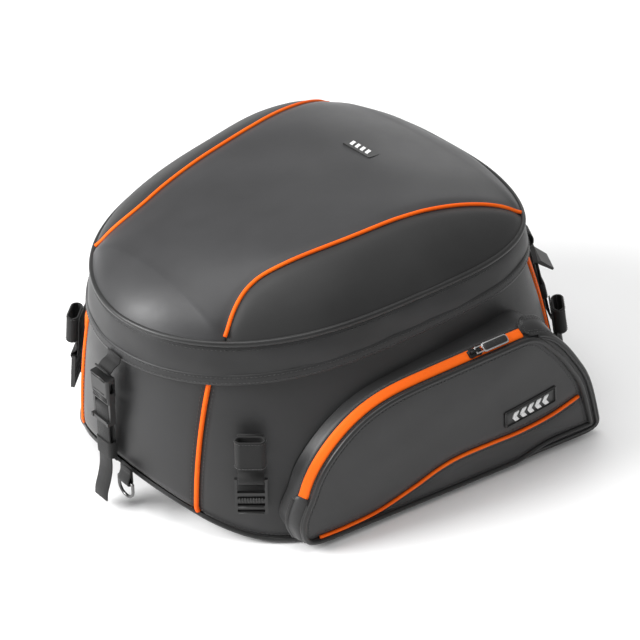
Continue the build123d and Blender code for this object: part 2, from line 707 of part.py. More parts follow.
with BuildPart() as front_strap:
    with BuildSketch(side_on(FRONT_PLANE, STRAP / 2)):
        with BuildLine():
            turn_y = FRONT_LOOP_TOP - (LAYER_OUT - LAYER_IN) / 2
            Polyline((-58, 3.5), (-46, LAYER_IN), (turn_y, LAYER_IN))
            ThreePointArc((turn_y, LAYER_IN), (FRONT_LOOP_TOP, (LAYER_IN + LAYER_OUT) / 2),
                          (turn_y, LAYER_OUT))
            Line((turn_y, LAYER_OUT), (-34, LAYER_OUT))
        trace(line_width=WEB_T)
    extrude(amount=STRAP)
    with BuildSketch(side_on(FRONT_PLANE, STRAP / 2)):
        with BuildLine():
            Spline((86, -3), (80, 9), (70, 10.5), (65.5, 7.1))
        trace(line_width=WEB_T)
    extrude(amount=STRAP)
both_sides(front_strap.part, "front_strap")

with BuildPart() as front_ladder:
    with BuildSketch(FRONT_PLANE.offset(5.0)):
        with Locations((0, (LADDER_LOW + LADDER_HIGH) / 2)):
            RectangleRounded(STRAP + 8, LADDER_HIGH - LADDER_LOW, 3)
        with Locations((0, LADDER_LOW + 9.5)):
            Rectangle(STRAP + 1, 12, mode=Mode.SUBTRACT)
    extrude(amount=4.6)
    with BuildSketch(side_on(FRONT_PLANE, STRAP / 2 + 4)):
        with BuildLine():
            Polyline((LADDER_LOW + 3, 9.0), (LADDER_LOW + 2.5, 13), (LADDER_LOW - 12, 24),
                     (LADDER_LOW - 13.5, 22.2), (LADDER_LOW, 9.0), close=True)
        make_face()
    extrude(amount=STRAP + 8)
    add(front_strap.part, mode=Mode.SUBTRACT)
both_sides(front_ladder.part, "front_ladder")

with BuildPart() as front_keeper:
    thick = LAYER_OUT - LAYER_IN + WEB_T
    with BuildSketch(side_on(FRONT_PLANE, STRAP / 2 + GAP + 1.4)):
        with Locations((5, (LAYER_IN + LAYER_OUT) / 2)):
            Rectangle(19, thick + 2 * GAP + 2.8)
    extrude(amount=STRAP + 2 * GAP + 2.8)
    with BuildSketch(side_on(FRONT_PLANE, STRAP / 2 + GAP)):
        with Locations((5, (LAYER_IN + LAYER_OUT) / 2)):
            Rectangle(21, thick + 2 * GAP)
    extrude(amount=STRAP + 2 * GAP, mode=Mode.SUBTRACT)
both_sides(front_keeper.part, "front_keeper")

# ---------------------------------------------------------------- mounting points at the four corners
MOUNT_REAR = leaning_plane((-170.0, 135.0, 84.0), 131.0, 5.0)
MOUNT_FRONT = leaning_plane((229.5, 146.5, 60.0), 41.0, 9.0)
LOOP_W, LOOP_H, LOOP_D = 30.0, 30.0, 13.0
PIN_OUT = 6.4                # buckle's bar, out of the wall
PIN_DOWN = -6.0
LOOP_R = MOUNT_PIN_R + GAP


def mount_web(plane):
    """Webbing sewn to the wall: a stow loop above, and the fold that holds the buckle's bar."""
    with BuildPart() as web:
        with BuildSketch(plane.offset(1.5)):
            with Locations((0, 18)):
                Rectangle(WEB, 50)
        extrude(amount=WEB_T)
        with BuildSketch(side_on(plane, WEB / 2)):
            with Locations((PIN_DOWN, PIN_OUT)):
                Circle(LOOP_R + WEB_T)
            with Locations((PIN_DOWN + 2, 2.5)):
                Rectangle(8, 2)
            with Locations((PIN_DOWN, PIN_OUT)):
                Circle(LOOP_R, mode=Mode.SUBTRACT)
        extrude(amount=WEB)
        crosswise = Plane(origin=plane.from_local_coords((0, 12, 3.1 + LOOP_D / 2)), x_dir=plane.x_dir,
                          z_dir=plane.y_dir)
        with BuildSketch(crosswise):
            SlotOverall(LOOP_W, LOOP_D)
            SlotOverall(LOOP_W - 3.6, LOOP_D - 3.6, mode=Mode.SUBTRACT)
        extrude(amount=LOOP_H)
    return web.part


def mount_buckle(plane):
    """Flat ladder frame that hangs on the webbing's fold; its bars lock a mounting strap."""
    rail = 2.6
    half = WEB / 2 + 0.6
    bottom = PIN_DOWN - MOUNT_BUCKLE_H
    with BuildPart() as frame:
        with BuildSketch(side_on(plane, half + rail)):
            with Locations((PIN_DOWN, PIN_OUT)):
                Circle(MOUNT_PIN_R)
        extrude(amount=2 * (half + rail))
        with BuildSketch(plane.offset(PIN_OUT - MOUNT_BUCKLE_T / 2)):
            with Locations((-half - rail / 2, PIN_DOWN - MOUNT_BUCKLE_H / 2 + 1),
                           (half + rail / 2, PIN_DOWN - MOUNT_BUCKLE_H / 2 + 1)):
                Rectangle(rail, MOUNT_BUCKLE_H + 2)
            with Locations((0, bottom + 1.5), (0, bottom + 8.5), (0, bottom + 23)):
                Rectangle(2 * half, 3)
            with Locations((0, bottom + 15.5)):
                Rectangle(2 * half, 4)
        extrude(amount=MOUNT_BUCKLE_T)
    return frame.part


with BuildPart() as mount_webs:
    for corner in (MOUNT_REAR, MOUNT_FRONT):
        add(mount_web(corner))
        add(mirror(mount_web(corner), about=Plane.XZ))
finish(mount_webs.part, "mount_webs")
both_sides(mount_buckle(MOUNT_REAR), "mount_buckle_rear")
both_sides(mount_buckle(MOUNT_FRONT), "mount_buckle_front")

# ---------------------------------------------------------------- main zipper's sliders, under the flap
with BuildPart() as main_zip_sliders:
    for y in (-16, 16):
        with BuildSketch(Plane(origin=(-211.6, y, HEM_REAR_Z + 13))):
            RectangleRounded(4.2, 11, 1)
        extrude(amount=7)
finish(main_zip_sliders.part, "main_zip_sliders")
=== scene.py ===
"""Looks of the motorcycle tail bag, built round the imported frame.  Metres, +X to the rider, +Z up."""
import math

import bpy
import numpy as np
from mathutils import Matrix, Vector
from mathutils.bvhtree import BVHTree


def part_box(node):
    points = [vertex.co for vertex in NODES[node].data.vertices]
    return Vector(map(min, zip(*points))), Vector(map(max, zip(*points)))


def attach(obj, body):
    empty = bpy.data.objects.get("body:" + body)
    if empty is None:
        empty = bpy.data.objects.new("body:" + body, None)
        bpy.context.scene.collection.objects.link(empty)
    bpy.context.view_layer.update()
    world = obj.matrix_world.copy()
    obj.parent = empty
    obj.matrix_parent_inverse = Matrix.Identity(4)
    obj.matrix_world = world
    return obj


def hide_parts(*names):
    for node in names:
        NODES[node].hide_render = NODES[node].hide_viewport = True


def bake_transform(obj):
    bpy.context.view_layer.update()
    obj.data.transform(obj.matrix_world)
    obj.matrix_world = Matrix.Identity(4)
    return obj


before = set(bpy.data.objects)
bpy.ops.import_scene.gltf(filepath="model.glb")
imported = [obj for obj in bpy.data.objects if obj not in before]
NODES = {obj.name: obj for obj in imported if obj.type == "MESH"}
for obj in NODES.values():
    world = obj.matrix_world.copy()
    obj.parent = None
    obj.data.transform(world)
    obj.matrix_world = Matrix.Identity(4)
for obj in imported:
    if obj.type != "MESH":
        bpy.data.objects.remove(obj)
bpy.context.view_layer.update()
SIDES = ("left", "right")

# ---------------------------------------------------------------- driving values (metres)
HEM_LEVEL, HEM_TILT = 0.188, 0.065      # skirt's lower edge: height at X_REF, rise per metre
RING_LEVEL, RING_TILT = 0.225, 0.048    # lid ring
X_REF = 0.034
UPSWEEP_START, UPSWEEP_RUN, UPSWEEP_RISE = -0.150, 0.081, 0.050
REAR_SEAM_Y, FRONT_SEAM_Y = 0.092, 0.150


def hem_z(x):
    return HEM_LEVEL + HEM_TILT * (x - X_REF)


def ring_z(x):
    return RING_LEVEL + RING_TILT * (x - X_REF)


def base_z(x):
    """Height of the base's curve: flat, then swept up towards the rear."""
    return UPSWEEP_RISE * (max(0.0, UPSWEEP_START - x) / UPSWEEP_RUN) ** 2


# ---------------------------------------------------------------- measuring the frame
def surface(*names):
    """A ray-castable surface made of CAD nodes."""
    verts, faces = [], []
    for name in names:
        mesh = NODES[name].data
        start = len(verts)
        verts += [v.co.copy() for v in mesh.vertices]
        faces += [[start + i for i in p.vertices] for p in mesh.polygons]
    return BVHTree.FromPolygons(verts, faces)


WALLS = surface("rear_wall", "front_wall", "side_wall_left", "side_wall_right")
SKIRT = surface("lid_skirt")
DOME = surface("lid_centre_panel", "lid_side_panel_left", "lid_side_panel_right")


def polar(tree, angle, height):
    """Outermost point of a surface in a direction from the middle; height is a function of x."""
    out = Vector((math.cos(angle), math.sin(angle), 0))
    for reach in (0.27, 0.2):    # first from outside, to come down on the swept-up rear end
        x, point = out.x * reach, None
        for _ in range(7):
            origin = out * 0.6
            origin.z = height(x)
            hit = tree.ray_cast(origin, -out)[0]
            if hit is None or hit.dot(out) < 0:
                break
            point, x = hit, hit.x
        if point is not None:
            return point
    return None


def smooth_loop(values, rounds, weight=0.5):
    """Evens out a closed list of points."""
    a = np.array(values, float)
    for _ in range(rounds):
        a = a * (1 - weight) + (np.roll(a, 1, 0) + np.roll(a, -1, 0)) * weight / 2
    return a


def resample(points, count, closed=False):
    """Points spaced evenly along a polyline."""
    p = np.array(points, float)
    if closed:
        p = np.vstack([p, p[:1]])
    steps = np.linalg.norm(np.diff(p, axis=0), axis=1)
    s = np.concatenate([[0], np.cumsum(steps)])
    t = np.linspace(0, s[-1], count + (1 if closed else 0))
    out = np.stack([np.interp(t, s, p[:, k]) for k in range(3)], 1)
    return out[:-1] if closed else out


def length_of(points, closed=False):
    p = np.array(points, float)
    if closed:
        p = np.vstack([p, p[:1]])
    return float(np.linalg.norm(np.diff(p, axis=0), axis=1).sum())


# ---------------------------------------------------------------- small mesh tools
def new_object(name, verts, faces, uvs=None, smooth=True):
    mesh = bpy.data.meshes.new(name)
    mesh.from_pydata([tuple(v) for v in verts], [], faces)
    if uvs is not None:
        layer = mesh.uv_layers.new(name="UVMap")
        for loop in mesh.loops:
            layer.data[loop.index].uv = uvs[loop.vertex_index]
    mesh.update()
    obj = bpy.data.objects.new(name, mesh)
    bpy.context.scene.collection.objects.link(obj)
    if smooth:
        mesh.polygons.foreach_set("use_smooth", [True] * len(mesh.polygons))
    return obj


def dress(obj, body, material, replaces=()):
    """Gives a piece its body and material, and the CAD nodes it stands for."""
    obj.data.materials.clear()
    obj.data.materials.append(material)
    if body:
        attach(obj, body)
    if replaces:
        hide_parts(*replaces)
    return obj


def apply_modifiers(obj):
    deps = bpy.context.evaluated_depsgraph_get()
    mesh = bpy.data.meshes.new_from_object(obj.evaluated_get(deps))
    mesh.name = obj.name
    obj.modifiers.clear()
    obj.data = mesh
    mesh.polygons.foreach_set("use_smooth", [True] * len(mesh.polygons))
    return obj


def thicken(obj, thickness, offset=-1.0, rim=True):
    m = obj.modifiers.new("wall", "SOLIDIFY")
    m.thickness = thickness
    m.offset = offset
    m.use_even_offset = False
    m.use_rim = rim
    return apply_modifiers(obj)


def grid_faces(rows, columns, closed=False):
    faces = []
    last = columns if closed else columns - 1
    for i in range(rows - 1):
        for j in range(last):
            k = (j + 1) % columns
            faces.append((i * columns + j, i * columns + k, (i + 1) * columns + k, (i + 1) * columns + j))
    return faces


def grid_object(name, grid, closed=False):
    """A surface through a grid of points; its UVs are the real distances in metres."""
    grid = np.array(grid, float)
    rows, columns = grid.shape[:2]
    along = np.concatenate([np.zeros((rows, 1)),
                            np.cumsum(np.linalg.norm(np.diff(grid, axis=1), axis=2), 1)], 1)
    across = np.concatenate([np.zeros((1, columns)),
                             np.cumsum(np.linalg.norm(np.diff(grid, axis=0), axis=2), 0)], 0)
    uvs = np.stack([along, across], 2).reshape(-1, 2)
    return new_object(name, grid.reshape(-1, 3), grid_faces(rows, columns, closed), uvs)


def frames_along(points, closed, up=None):
    """Tangent, side and up vectors at each point of a path."""
    p = np.array(points, float)
    if closed:
        tangent = np.roll(p, -1, 0) - np.roll(p, 1, 0)
    else:
        tangent = np.gradient(p, axis=0)
    tangent /= np.linalg.norm(tangent, axis=1)[:, None] + 1e-12
    if up is None:
        up = np.tile([0.0, 0.0, 1.0], (len(p), 1))
    up = np.array(up, float)
    if up.ndim == 1:
        up = np.tile(up, (len(p), 1))
    side = np.cross(tangent, up)
    side /= np.linalg.norm(side, axis=1)[:, None] + 1e-12
    up = np.cross(side, tangent)
    return tangent, side, up


def sweep(name, points, profile, closed=False, up=None, caps=True):
    """Carries a closed (side, up) profile along a path."""
    p = np.array(points, float)
    _, side, lift = frames_along(p, closed, up)
    ring = len(profile)
    verts, uvs = [], []
    run = np.concatenate([[0], np.cumsum(np.linalg.norm(np.diff(p, axis=0), axis=1))])
    edge = np.linalg.norm(np.diff(np.array(profile + profile[:1]), axis=0), axis=1)
    girth = np.concatenate([[0], np.cumsum(edge)])[:-1]
    for i in range(len(p)):
        for j, (a, b) in enumerate(profile):
            verts.append(p[i] + side[i] * a + lift[i] * b)
            uvs.append((girth[j], run[i]))
    faces = []
    count = len(p)
    for i in range(count if closed else count - 1):
        k = (i + 1) % count
        for j in range(ring):
            m = (j + 1) % ring
            faces.append((i * ring + j, i * ring + m, k * ring + m, k * ring + j))
    if not closed and caps:
        faces.append(tuple(range(ring))[::-1])
        faces.append(tuple((count - 1) * ring + j for j in range(ring)))
    return new_object(name, verts, faces, uvs)


def round_profile(radius, count=12, squash=1.0):
    return [(radius * math.cos(2 * math.pi * k / count), radius * squash * math.sin(2 * math.pi * k / count))
            for k in range(count)]


def strip_profile(width, thickness, corner=0.3):
    """A webbing's section: flat, with rounded edges."""
    w, t = width / 2, thickness / 2
    c = t * corner * 2
    return [(-w, -t + c), (-w + c, -t), (0, -t), (w - c, -t), (w, -t + c), (w, t - c), (w - c, t), (0, t),
            (-w + c, t), (-w, t - c)]


def join(name, objects):
    """One mesh out of several."""
    verts, faces, uvs = [], [], []
    for obj in objects:
        mesh, start = obj.data, len(verts)
        world = obj.matrix_world
        verts += [world @ v.co for v in mesh.vertices]
        faces += [tuple(start + i for i in p.vertices) for p in mesh.polygons]
        uv = [(0.0, 0.0)] * len(mesh.vertices)
        if mesh.uv_layers:
            for loop in mesh.loops:
                uv[loop.vertex_index] = tuple(mesh.uv_layers[0].data[loop.index].uv)
        uvs += uv
        bpy.data.objects.remove(obj)
    return new_object(name, verts, faces, uvs)


def stitches(name, points, normals, pitch=0.0042, length=0.0030, radius=0.00035, closed=False, sink=0.1):
    """A row of thread stitches lying on a surface along a path."""
    total = length_of(points, closed)
    count = max(2, int(total / pitch))
    dense = resample(points, count, closed)
    normals = np.array(normals, float)
    if normals.ndim == 1:
        lift = np.tile(normals, (count, 1))
    else:
        lift = resample(normals, count, closed)
    lift /= np.linalg.norm(lift, axis=1)[:, None] + 1e-12
    tangent, side, up = frames_along(dense, closed, lift)
    verts, faces, uvs = [], [], []
    shape = [(-0.5, 0.0, -0.6), (-0.32, 0.8, 0.5), (0.0, 1.0, 1.0), (0.32, 0.8, 0.5), (0.5, 0.0, -0.6)]
    sides = 5
    for i in range(count):
        start = len(verts)
        for a, wide, high in shape:
            centre = dense[i] + tangent[i] * length * a + up[i] * radius * (high - sink)
            for k in range(sides):
                angle = 2 * math.pi * k / sides
                r = radius * max(wide, 0.35)
                verts.append(centre + side[i] * r * math.cos(angle) + up[i] * r * 0.8 * math.sin(angle))
                uvs.append((k / sides, a))
        for s in range(len(shape) - 1):
            for k in range(sides):
                m = (k + 1) % sides
                faces.append((start + s * sides + k, start + s * sides + m,
                              start + (s + 1) * sides + m, start + (s + 1) * sides + k))
    return new_object(name, verts, faces, uvs)


# ---------------------------------------------------------------- materials
class Shader:
    """Short names for the few shader nodes that the materials use."""

    def __init__(self, name):
        self.material = bpy.data.materials.new(name)
        self.material.use_nodes = True
        self.tree = self.material.node_tree
        self.nodes, self.links = self.tree.nodes, self.tree.links
        self.bsdf = self.nodes["Principled BSDF"]

    def node(self, kind, **inputs):
        node = self.nodes.new(kind)
        for key, value in inputs.items():
            node.inputs[key].default_value = value
        return node

    def coords(self, uv=False, scale=(1, 1, 1)):
        source = self.node("ShaderNodeTexCoord")
        mapping = self.node("ShaderNodeMapping")
        mapping.inputs["Scale"].default_value = scale
        self.links.new(source.outputs["UV" if uv else "Object"], mapping.inputs["Vector"])
        return mapping.outputs["Vector"]

    def noise(self, vector, scale, detail=3.0, rough=0.5):
        node = self.node("ShaderNodeTexNoise", Scale=scale, Detail=detail, Roughness=rough)
        self.links.new(vector, node.inputs["Vector"])
        return node.outputs["Fac"]

    def voronoi(self, vector, scale, feature="F1", output="Distance"):
        node = self.node("ShaderNodeTexVoronoi", Scale=scale)
        node.feature = feature
        self.links.new(vector, node.inputs["Vector"])
        return node.outputs[output]

    def wave(self, vector, scale, direction="X", profile="SIN", distortion=0.0):
        node = self.node("ShaderNodeTexWave", Scale=scale, Distortion=distortion)
        node.bands_direction = direction
        node.wave_profile = profile
        self.links.new(vector, node.inputs["Vector"])
        return node.outputs["Fac"]

    def math(self, operation, a, b=0.0):
        node = self.node("ShaderNodeMath")
        node.operation = operation
        for socket, value in zip(node.inputs, (a, b)):
            if isinstance(value, (int, float)):
                socket.default_value = value
            else:
                self.links.new(value, socket)
        return node.outputs[0]

    def ramp(self, value, stops):
        node = self.node("ShaderNodeValToRGB")
        ramp = node.color_ramp
        while len(ramp.elements) < len(stops):
            ramp.elements.new(0.5)
        for element, (place, colour) in zip(ramp.elements, stops):
            element.position = place
            element.color = (*colour, 1)
        self.links.new(value, node.inputs["Fac"])
        return node.outputs["Color"]

    def span(self, value, low, high):
        node = self.node("ShaderNodeMapRange")
        node.inputs["To Min"].default_value = low
        node.inputs["To Max"].default_value = high
        self.links.new(value, node.inputs["Value"])
        return node.outputs["Result"]

    def bumps(self, *layers):
        """Bump maps chained one on another: (height, strength, distance in metres)."""
        normal = None
        for height, strength, distance in layers:
            node = self.node("ShaderNodeBump", Strength=strength, Distance=distance)
            self.links.new(height, node.inputs["Height"])
            if normal is not None:
                self.links.new(normal, node.inputs["Normal"])
            normal = node.outputs["Normal"]
        self.links.new(normal, self.bsdf.inputs["Normal"])

    def colour(self, source):
        self.links.new(source, self.bsdf.inputs["Base Color"])

    def roughness(self, source):
        self.links.new(source, self.bsdf.inputs["Roughness"])

    def set(self, **values):
        for key, value in values.items():
            self.bsdf.inputs[key.replace("_", " ")].default_value = value


def coated_fabric(name, dark, light, grain=1500.0, rough=(0.42, 0.55), sheen=0.25, coat=0.0, depth=0.00012,
                  gloss=0.42):
    """Coated fabric: a fine pebbled grain, slow colour drift and a soft sheen."""
    s = Shader(name)
    at = s.coords()
    cells = s.voronoi(at, grain)
    fine = s.noise(at, grain * 1.7, 2.0)
    drift = s.noise(at, 14.0, 4.0, 0.6)
    s.colour(s.ramp(drift, [(0.3, dark), (0.7, light)]))
    s.roughness(s.span(s.noise(at, 55.0, 3.0), *rough))
    s.bumps((cells, 0.35, depth), (fine, 0.2, depth * 0.6), (s.noise(at, 120.0, 3.0), 0.12, 0.0004))
    s.set(Sheen_Weight=sheen, Sheen_Roughness=0.45, Coat_Weight=coat, Coat_Roughness=0.35,
          Specular_IOR_Level=gloss)
    return s.material


def woven(name, dark, light, threads=900.0, rough=(0.55, 0.7), sheen=0.35, uv=True, depth=0.00025):
    """A plain weave: two crossed sets of threads that take turns on top."""
    s = Shader(name)
    at = s.coords(uv=uv)
    warp = s.wave(at, threads * 0.314, "X", "SIN")
    weft = s.wave(at, threads * 0.314, "Y", "SIN")
    over = s.math("MAXIMUM", warp, weft)
    mottle = s.noise(at, 900.0, 2.0)
    tone = s.math("MULTIPLY", over, s.span(mottle, 0.7, 1.15))
    s.colour(s.ramp(tone, [(0.1, dark), (0.9, light)]))
    s.roughness(s.span(mottle, *rough))
    s.bumps((over, 0.6, depth), (mottle, 0.25, depth * 0.6))
    s.set(Sheen_Weight=sheen, Sheen_Roughness=0.5, Specular_IOR_Level=0.25)
    return s.material


def moulded(name, dark, light, rough=(0.34, 0.46), grain=2600.0, metallic=0.0, depth=0.00005):
    """Moulded plastic or coated metal with a fine spark-eroded texture."""
    s = Shader(name)
    at = s.coords()
    fine = s.noise(at, grain, 2.0)
    s.colour(s.ramp(s.noise(at, 60.0, 3.0), [(0.3, dark), (0.7, light)]))
    s.roughness(s.span(s.noise(at, 180.0, 3.0), *rough))
    s.bumps((fine, 0.25, depth))
    s.set(Metallic=metallic)
    return s.material


def grey(value, tint=0.0):
    return (value, value, value + tint)


ORANGE_DARK, ORANGE_LIGHT = (0.88, 0.104, 0.001), (0.96, 0.150, 0.003)
LID_FABRIC = coated_fabric("lid_fabric", grey(0.020, 0.001), grey(0.027, 0.0015), rough=(0.40, 0.50),
                           sheen=0.12)
SIDE_FABRIC = coated_fabric("side_fabric", grey(0.012), grey(0.017), rough=(0.48, 0.6), sheen=0.10)
WALL_FABRIC = coated_fabric("wall_fabric", grey(0.014), grey(0.020, 0.001), rough=(0.42, 0.54), sheen=0.12)
SKIRT_FABRIC = coated_fabric("skirt_fabric", grey(0.012), grey(0.018, 0.001), rough=(0.44, 0.56), sheen=0.12)
POCKET_FABRIC = coated_fabric("pocket_fabric", grey(0.018), grey(0.026, 0.001), rough=(0.42, 0.52),
                              sheen=0.12)
LINING = coated_fabric("lining", grey(0.045), grey(0.075), rough=(0.7, 0.8), sheen=0.1)
WEBBING = woven("webbing", grey(0.005), grey(0.016), threads=900.0, sheen=0.08)
TAPE_BLACK = woven("tape_black", grey(0.008), grey(0.022), threads=1500.0)
TAPE_ORANGE = woven("tape_orange", ORANGE_DARK, ORANGE_LIGHT, threads=1500.0, sheen=0.0, depth=0.00010)
PIPING_ORANGE = coated_fabric("piping_orange", ORANGE_DARK, ORANGE_LIGHT, grain=2600.0, rough=(0.5, 0.62),
                              sheen=0.0, depth=0.00006, gloss=0.2)
PIPING_BLACK = coated_fabric("piping_black", grey(0.008), grey(0.014), grain=2400.0, rough=(0.34, 0.46),
                             sheen=0.15, depth=0.00006)
RUBBER_BASE = coated_fabric("rubber_base", grey(0.010), grey(0.016), grain=900.0, rough=(0.6, 0.75),
                            sheen=0.05,
                            depth=0.0003)
BOARD = woven("board", grey(0.02), grey(0.05), threads=450.0, uv=False)
BUCKLE = moulded("buckle_plastic", grey(0.010), grey(0.016))
SLIDER_METAL = moulded("slider_metal", grey(0.014), grey(0.022), rough=(0.25, 0.38), metallic=0.6)
PULL_RUBBER = moulded("pull_rubber", grey(0.010), grey(0.014), rough=(0.4, 0.55))
RING_METAL = moulded("ring_metal", grey(0.10), grey(0.16), rough=(0.22, 0.36), grain=1500.0, metallic=1.0)
EDGE_METAL = moulded("edge_metal", grey(0.5), grey(0.62), rough=(0.2, 0.3), metallic=1.0)
BADGE_RUBBER = moulded("badge_rubber", grey(0.008), grey(0.012), rough=(0.3, 0.42))
BADGE_LIGHT = moulded("badge_light", grey(0.72), grey(0.8), rough=(0.35, 0.45))
THREAD = woven("thread", grey(0.012), grey(0.035), threads=3000.0, depth=0.00005)

# ---------------------------------------------------------------- lid: ring, dome panels and pipings
ANGLES = [2 * math.pi * k / 360 for k in range(360)]
RING_OUT = smooth_loop([polar(SKIRT, a, lambda x: ring_z(x) - 0.0012) for a in ANGLES], 6)
HEM_OUT = smooth_loop([polar(SKIRT, a, lambda x: hem_z(x) + 0.0015) for a in ANGLES], 6)
RING_OUT[:, 2] = [ring_z(x) for x in RING_OUT[:, 0]]
HEM_OUT[:, 2] = [hem_z(x) for x in HEM_OUT[:, 0]]

# plan of the orange lid piping, rear to front, as in the CAD
LID_CURVE = [(-0.215, 0.128), (-0.185, 0.109), (-0.150, 0.092), (-0.122, 0.087), (-0.088, 0.092),
             (-0.030, 0.103), (0.038, 0.113), (0.088, 0.123), (0.130, 0.133), (0.180, 0.147), (0.215, 0.158)]


def catmull(points, per=12):
    """A smooth curve through points."""
    p = [np.array(q, float) for q in points]
    p = [2 * p[0] - p[1], *p, 2 * p[-1] - p[-2]]
    out = []
    for a, b, c, d in zip(p, p[1:], p[2:], p[3:]):
        for k in range(per):
            t = k / per
            out.append(0.5 * (2 * b + (c - a) * t + (2 * a - 5 * b + 4 * c - d) * t ** 2
                              + (3 * b - a - 3 * c + d) * t ** 3))
    out.append(p[-2])
    return np.array(out)


def inside_ring(x, y, margin=0.0):
    angle = math.atan2(y, x) % (2 * math.pi)
    k = angle / (2 * math.pi) * len(ANGLES)
    i = int(k) % len(ANGLES)
    a, b = RING_OUT[i], RING_OUT[(i + 1) % len(ANGLES)]
    edge = a + (b - a) * (k - int(k))
    return math.hypot(x, y) < math.hypot(edge[0], edge[1]) - margin


def dome_z(x, y):
    """Height of the CAD dome over a point; the ring's height beyond its edge."""
    for pull in (1.0, 0.995, 0.99, 0.98, 0.97):
        hit = DOME.ray_cast(Vector((x * pull, y * pull, 0.6)), Vector((0, 0, -1)))[0]
        if hit is not None and hit.z > ring_z(x) - 0.004:
            return hit.z
    return ring_z(x)


SEAM = np.array([p for p in catmull(LID_CURVE, 16) if inside_ring(p[0], p[1], 0.0)])


def ring_half(rear_angle, front_angle, count):
    """Ring points on the left side between two polar angles."""
    out = []
    for k in range(count):
        angle = rear_angle + (front_angle - rear_angle) * k / (count - 1)
        f = (angle % (2 * math.pi)) / (2 * math.pi) * len(ANGLES)
        i = int(f) % len(ANGLES)
        out.append(RING_OUT[i] + (RING_OUT[(i + 1) % len(ANGLES)] - RING_OUT[i]) * (f - int(f)))
    return np.array(out)


REAR_CUT = math.atan2(SEAM[0][1], SEAM[0][0])
FRONT_CUT = math.atan2(SEAM[-1][1], SEAM[-1][0])


def flat3(points):
    p = np.array(points, float)
    return np.hstack([p[:, :2], np.zeros((len(p), 1))])


def lay_on_dome(grid, seam_dip, edge_dip, width=0.007, rounds=40):
    """Drops a plan grid on the dome, with a valley beside the seams and the ring."""
    grid = np.array(grid, float)
    rows, columns = grid.shape[:2]
    for i in range(rows):
        for j in range(columns):
            grid[i, j, 2] = dome_z(grid[i, j, 0], grid[i, j, 1])
    for _ in range(rounds):
        inner = (grid[:-2, 1:-1, 2] + grid[2:, 1:-1, 2] + grid[1:-1, :-2, 2] + grid[1:-1, 2:, 2]) / 4
        grid[1:-1, 1:-1, 2] = grid[1:-1, 1:-1, 2] * 0.5 + inner * 0.5
    seam = np.vstack([SEAM, SEAM * [1, -1]])
    ring = RING_OUT[:, :2]
    flat = grid.reshape(-1, 3)
    for p in flat:
        near = np.sqrt(((seam - p[:2]) ** 2).sum(1).min())
        rim = np.sqrt(((ring - p[:2]) ** 2).sum(1).min())
        p[2] -= seam_dip * math.exp(-(near / width) ** 2) + edge_dip * math.exp(-(rim / width) ** 2)
        p[2] += 0.0006 * math.sin(p[0] * 47 + 1.3) * math.sin(p[1] * 61 + 0.4) * min(1, near / 0.03)
    return flat.reshape(rows, columns, 3)


def build_lid_panels():
    count = 150
    shrink = 0.9985
    for side, sign in zip(SIDES, (1, -1)):
        seam = resample(flat3(SEAM), count)
        ring = resample(flat3(ring_half(REAR_CUT, FRONT_CUT, 240)), count) * [shrink, shrink, 1]
        grid = [[(seam[i] + (ring[i] - seam[i]) * v) * [1, sign, 1] for i in range(count)]
                for v in np.linspace(0, 1, 30)]
        if sign > 0:
            grid = grid[::-1]
        panel = grid_object(f"lid_side_{side}", lay_on_dome(grid, 0.0022, 0.0016))
        thicken(panel, 0.0022)
        dress(panel, "lid", SIDE_FABRIC, [f"lid_side_panel_{side}"])
    rear = flat3(ring_half(math.pi, REAR_CUT, 60)) * [shrink, shrink, 1]
    front = flat3(ring_half(FRONT_CUT, 0.0, 60)) * [shrink, shrink, 1]
    left = np.vstack([resample(rear, 36)[:-1], resample(flat3(SEAM), 130), resample(front, 36)[1:]])
    grid = [[left[i] * [1, v, 1] for i in range(len(left))] for v in np.linspace(1, -1, 71)]
    panel = grid_object("lid_centre", lay_on_dome(grid, 0.0022, 0.0016, rounds=160))
    thicken(panel, 0.0022)
    dress(panel, "lid", LID_FABRIC, ["lid_centre_panel"])


def build_lid_pipings():
    tubes, rows = [], []
    for sign in (1, -1):
        plan = resample(flat3(SEAM), 160)
        path = np.array([(x, y * sign, dome_z(x, y) + 0.0008) for x, y, _ in plan])
        path[:, 2] = np.convolve(np.pad(path[:, 2], 4, mode="edge"), np.ones(9) / 9, "valid")
        path[:, 2] += 0.0003
        tubes.append(sweep("tube", path, round_profile(0.0019, 12)))
        out = np.gradient(path, axis=0)
        beside = np.stack([-out[:, 1], out[:, 0], np.zeros(len(out))], 1)
        beside /= np.linalg.norm(beside, axis=1)[:, None]
        for shift in (-0.0062, 0.0062):
            line = path + beside * shift
            line[:, 2] = [dome_z(x, abs(y)) - 0.0002 for x, y, _ in line]
            rows.append(stitches("row", line[4:-4], (0, 0, 1)))
    tube = join("lid_orange_pipings", tubes)
    dress(tube, "lid", PIPING_ORANGE, ["lid_accent_pipings"])
    dress(join("lid_seam_stitches", rows), "lid", THREAD)


def outward(points):
    """Unit normals of a closed plan loop, level."""
    p = np.array(points, float)
    t = np.roll(p, -1, 0) - np.roll(p, 1, 0)
    n = np.stack([t[:, 1], -t[:, 0], np.zeros(len(p))], 1)
    n /= np.linalg.norm(n, axis=1)[:, None]
    flip = np.sign((n * p).sum(1).mean())
    return n * flip


def build_ring():
    even = resample(RING_OUT, 300, True)
    out = outward(even)
    path = even + out * 0.0004 + [0, 0, 0.0004]
    ring = sweep("lid_ring_piping", path, round_profile(0.0030, 14), closed=True)
    dress(ring, "lid", PIPING_BLACK, ["lid_piping"])
    below = even + out * 0.0016 + [0, 0, -0.0062]
    dress(stitches("ring_stitches", below, out, closed=True), "lid", THREAD)


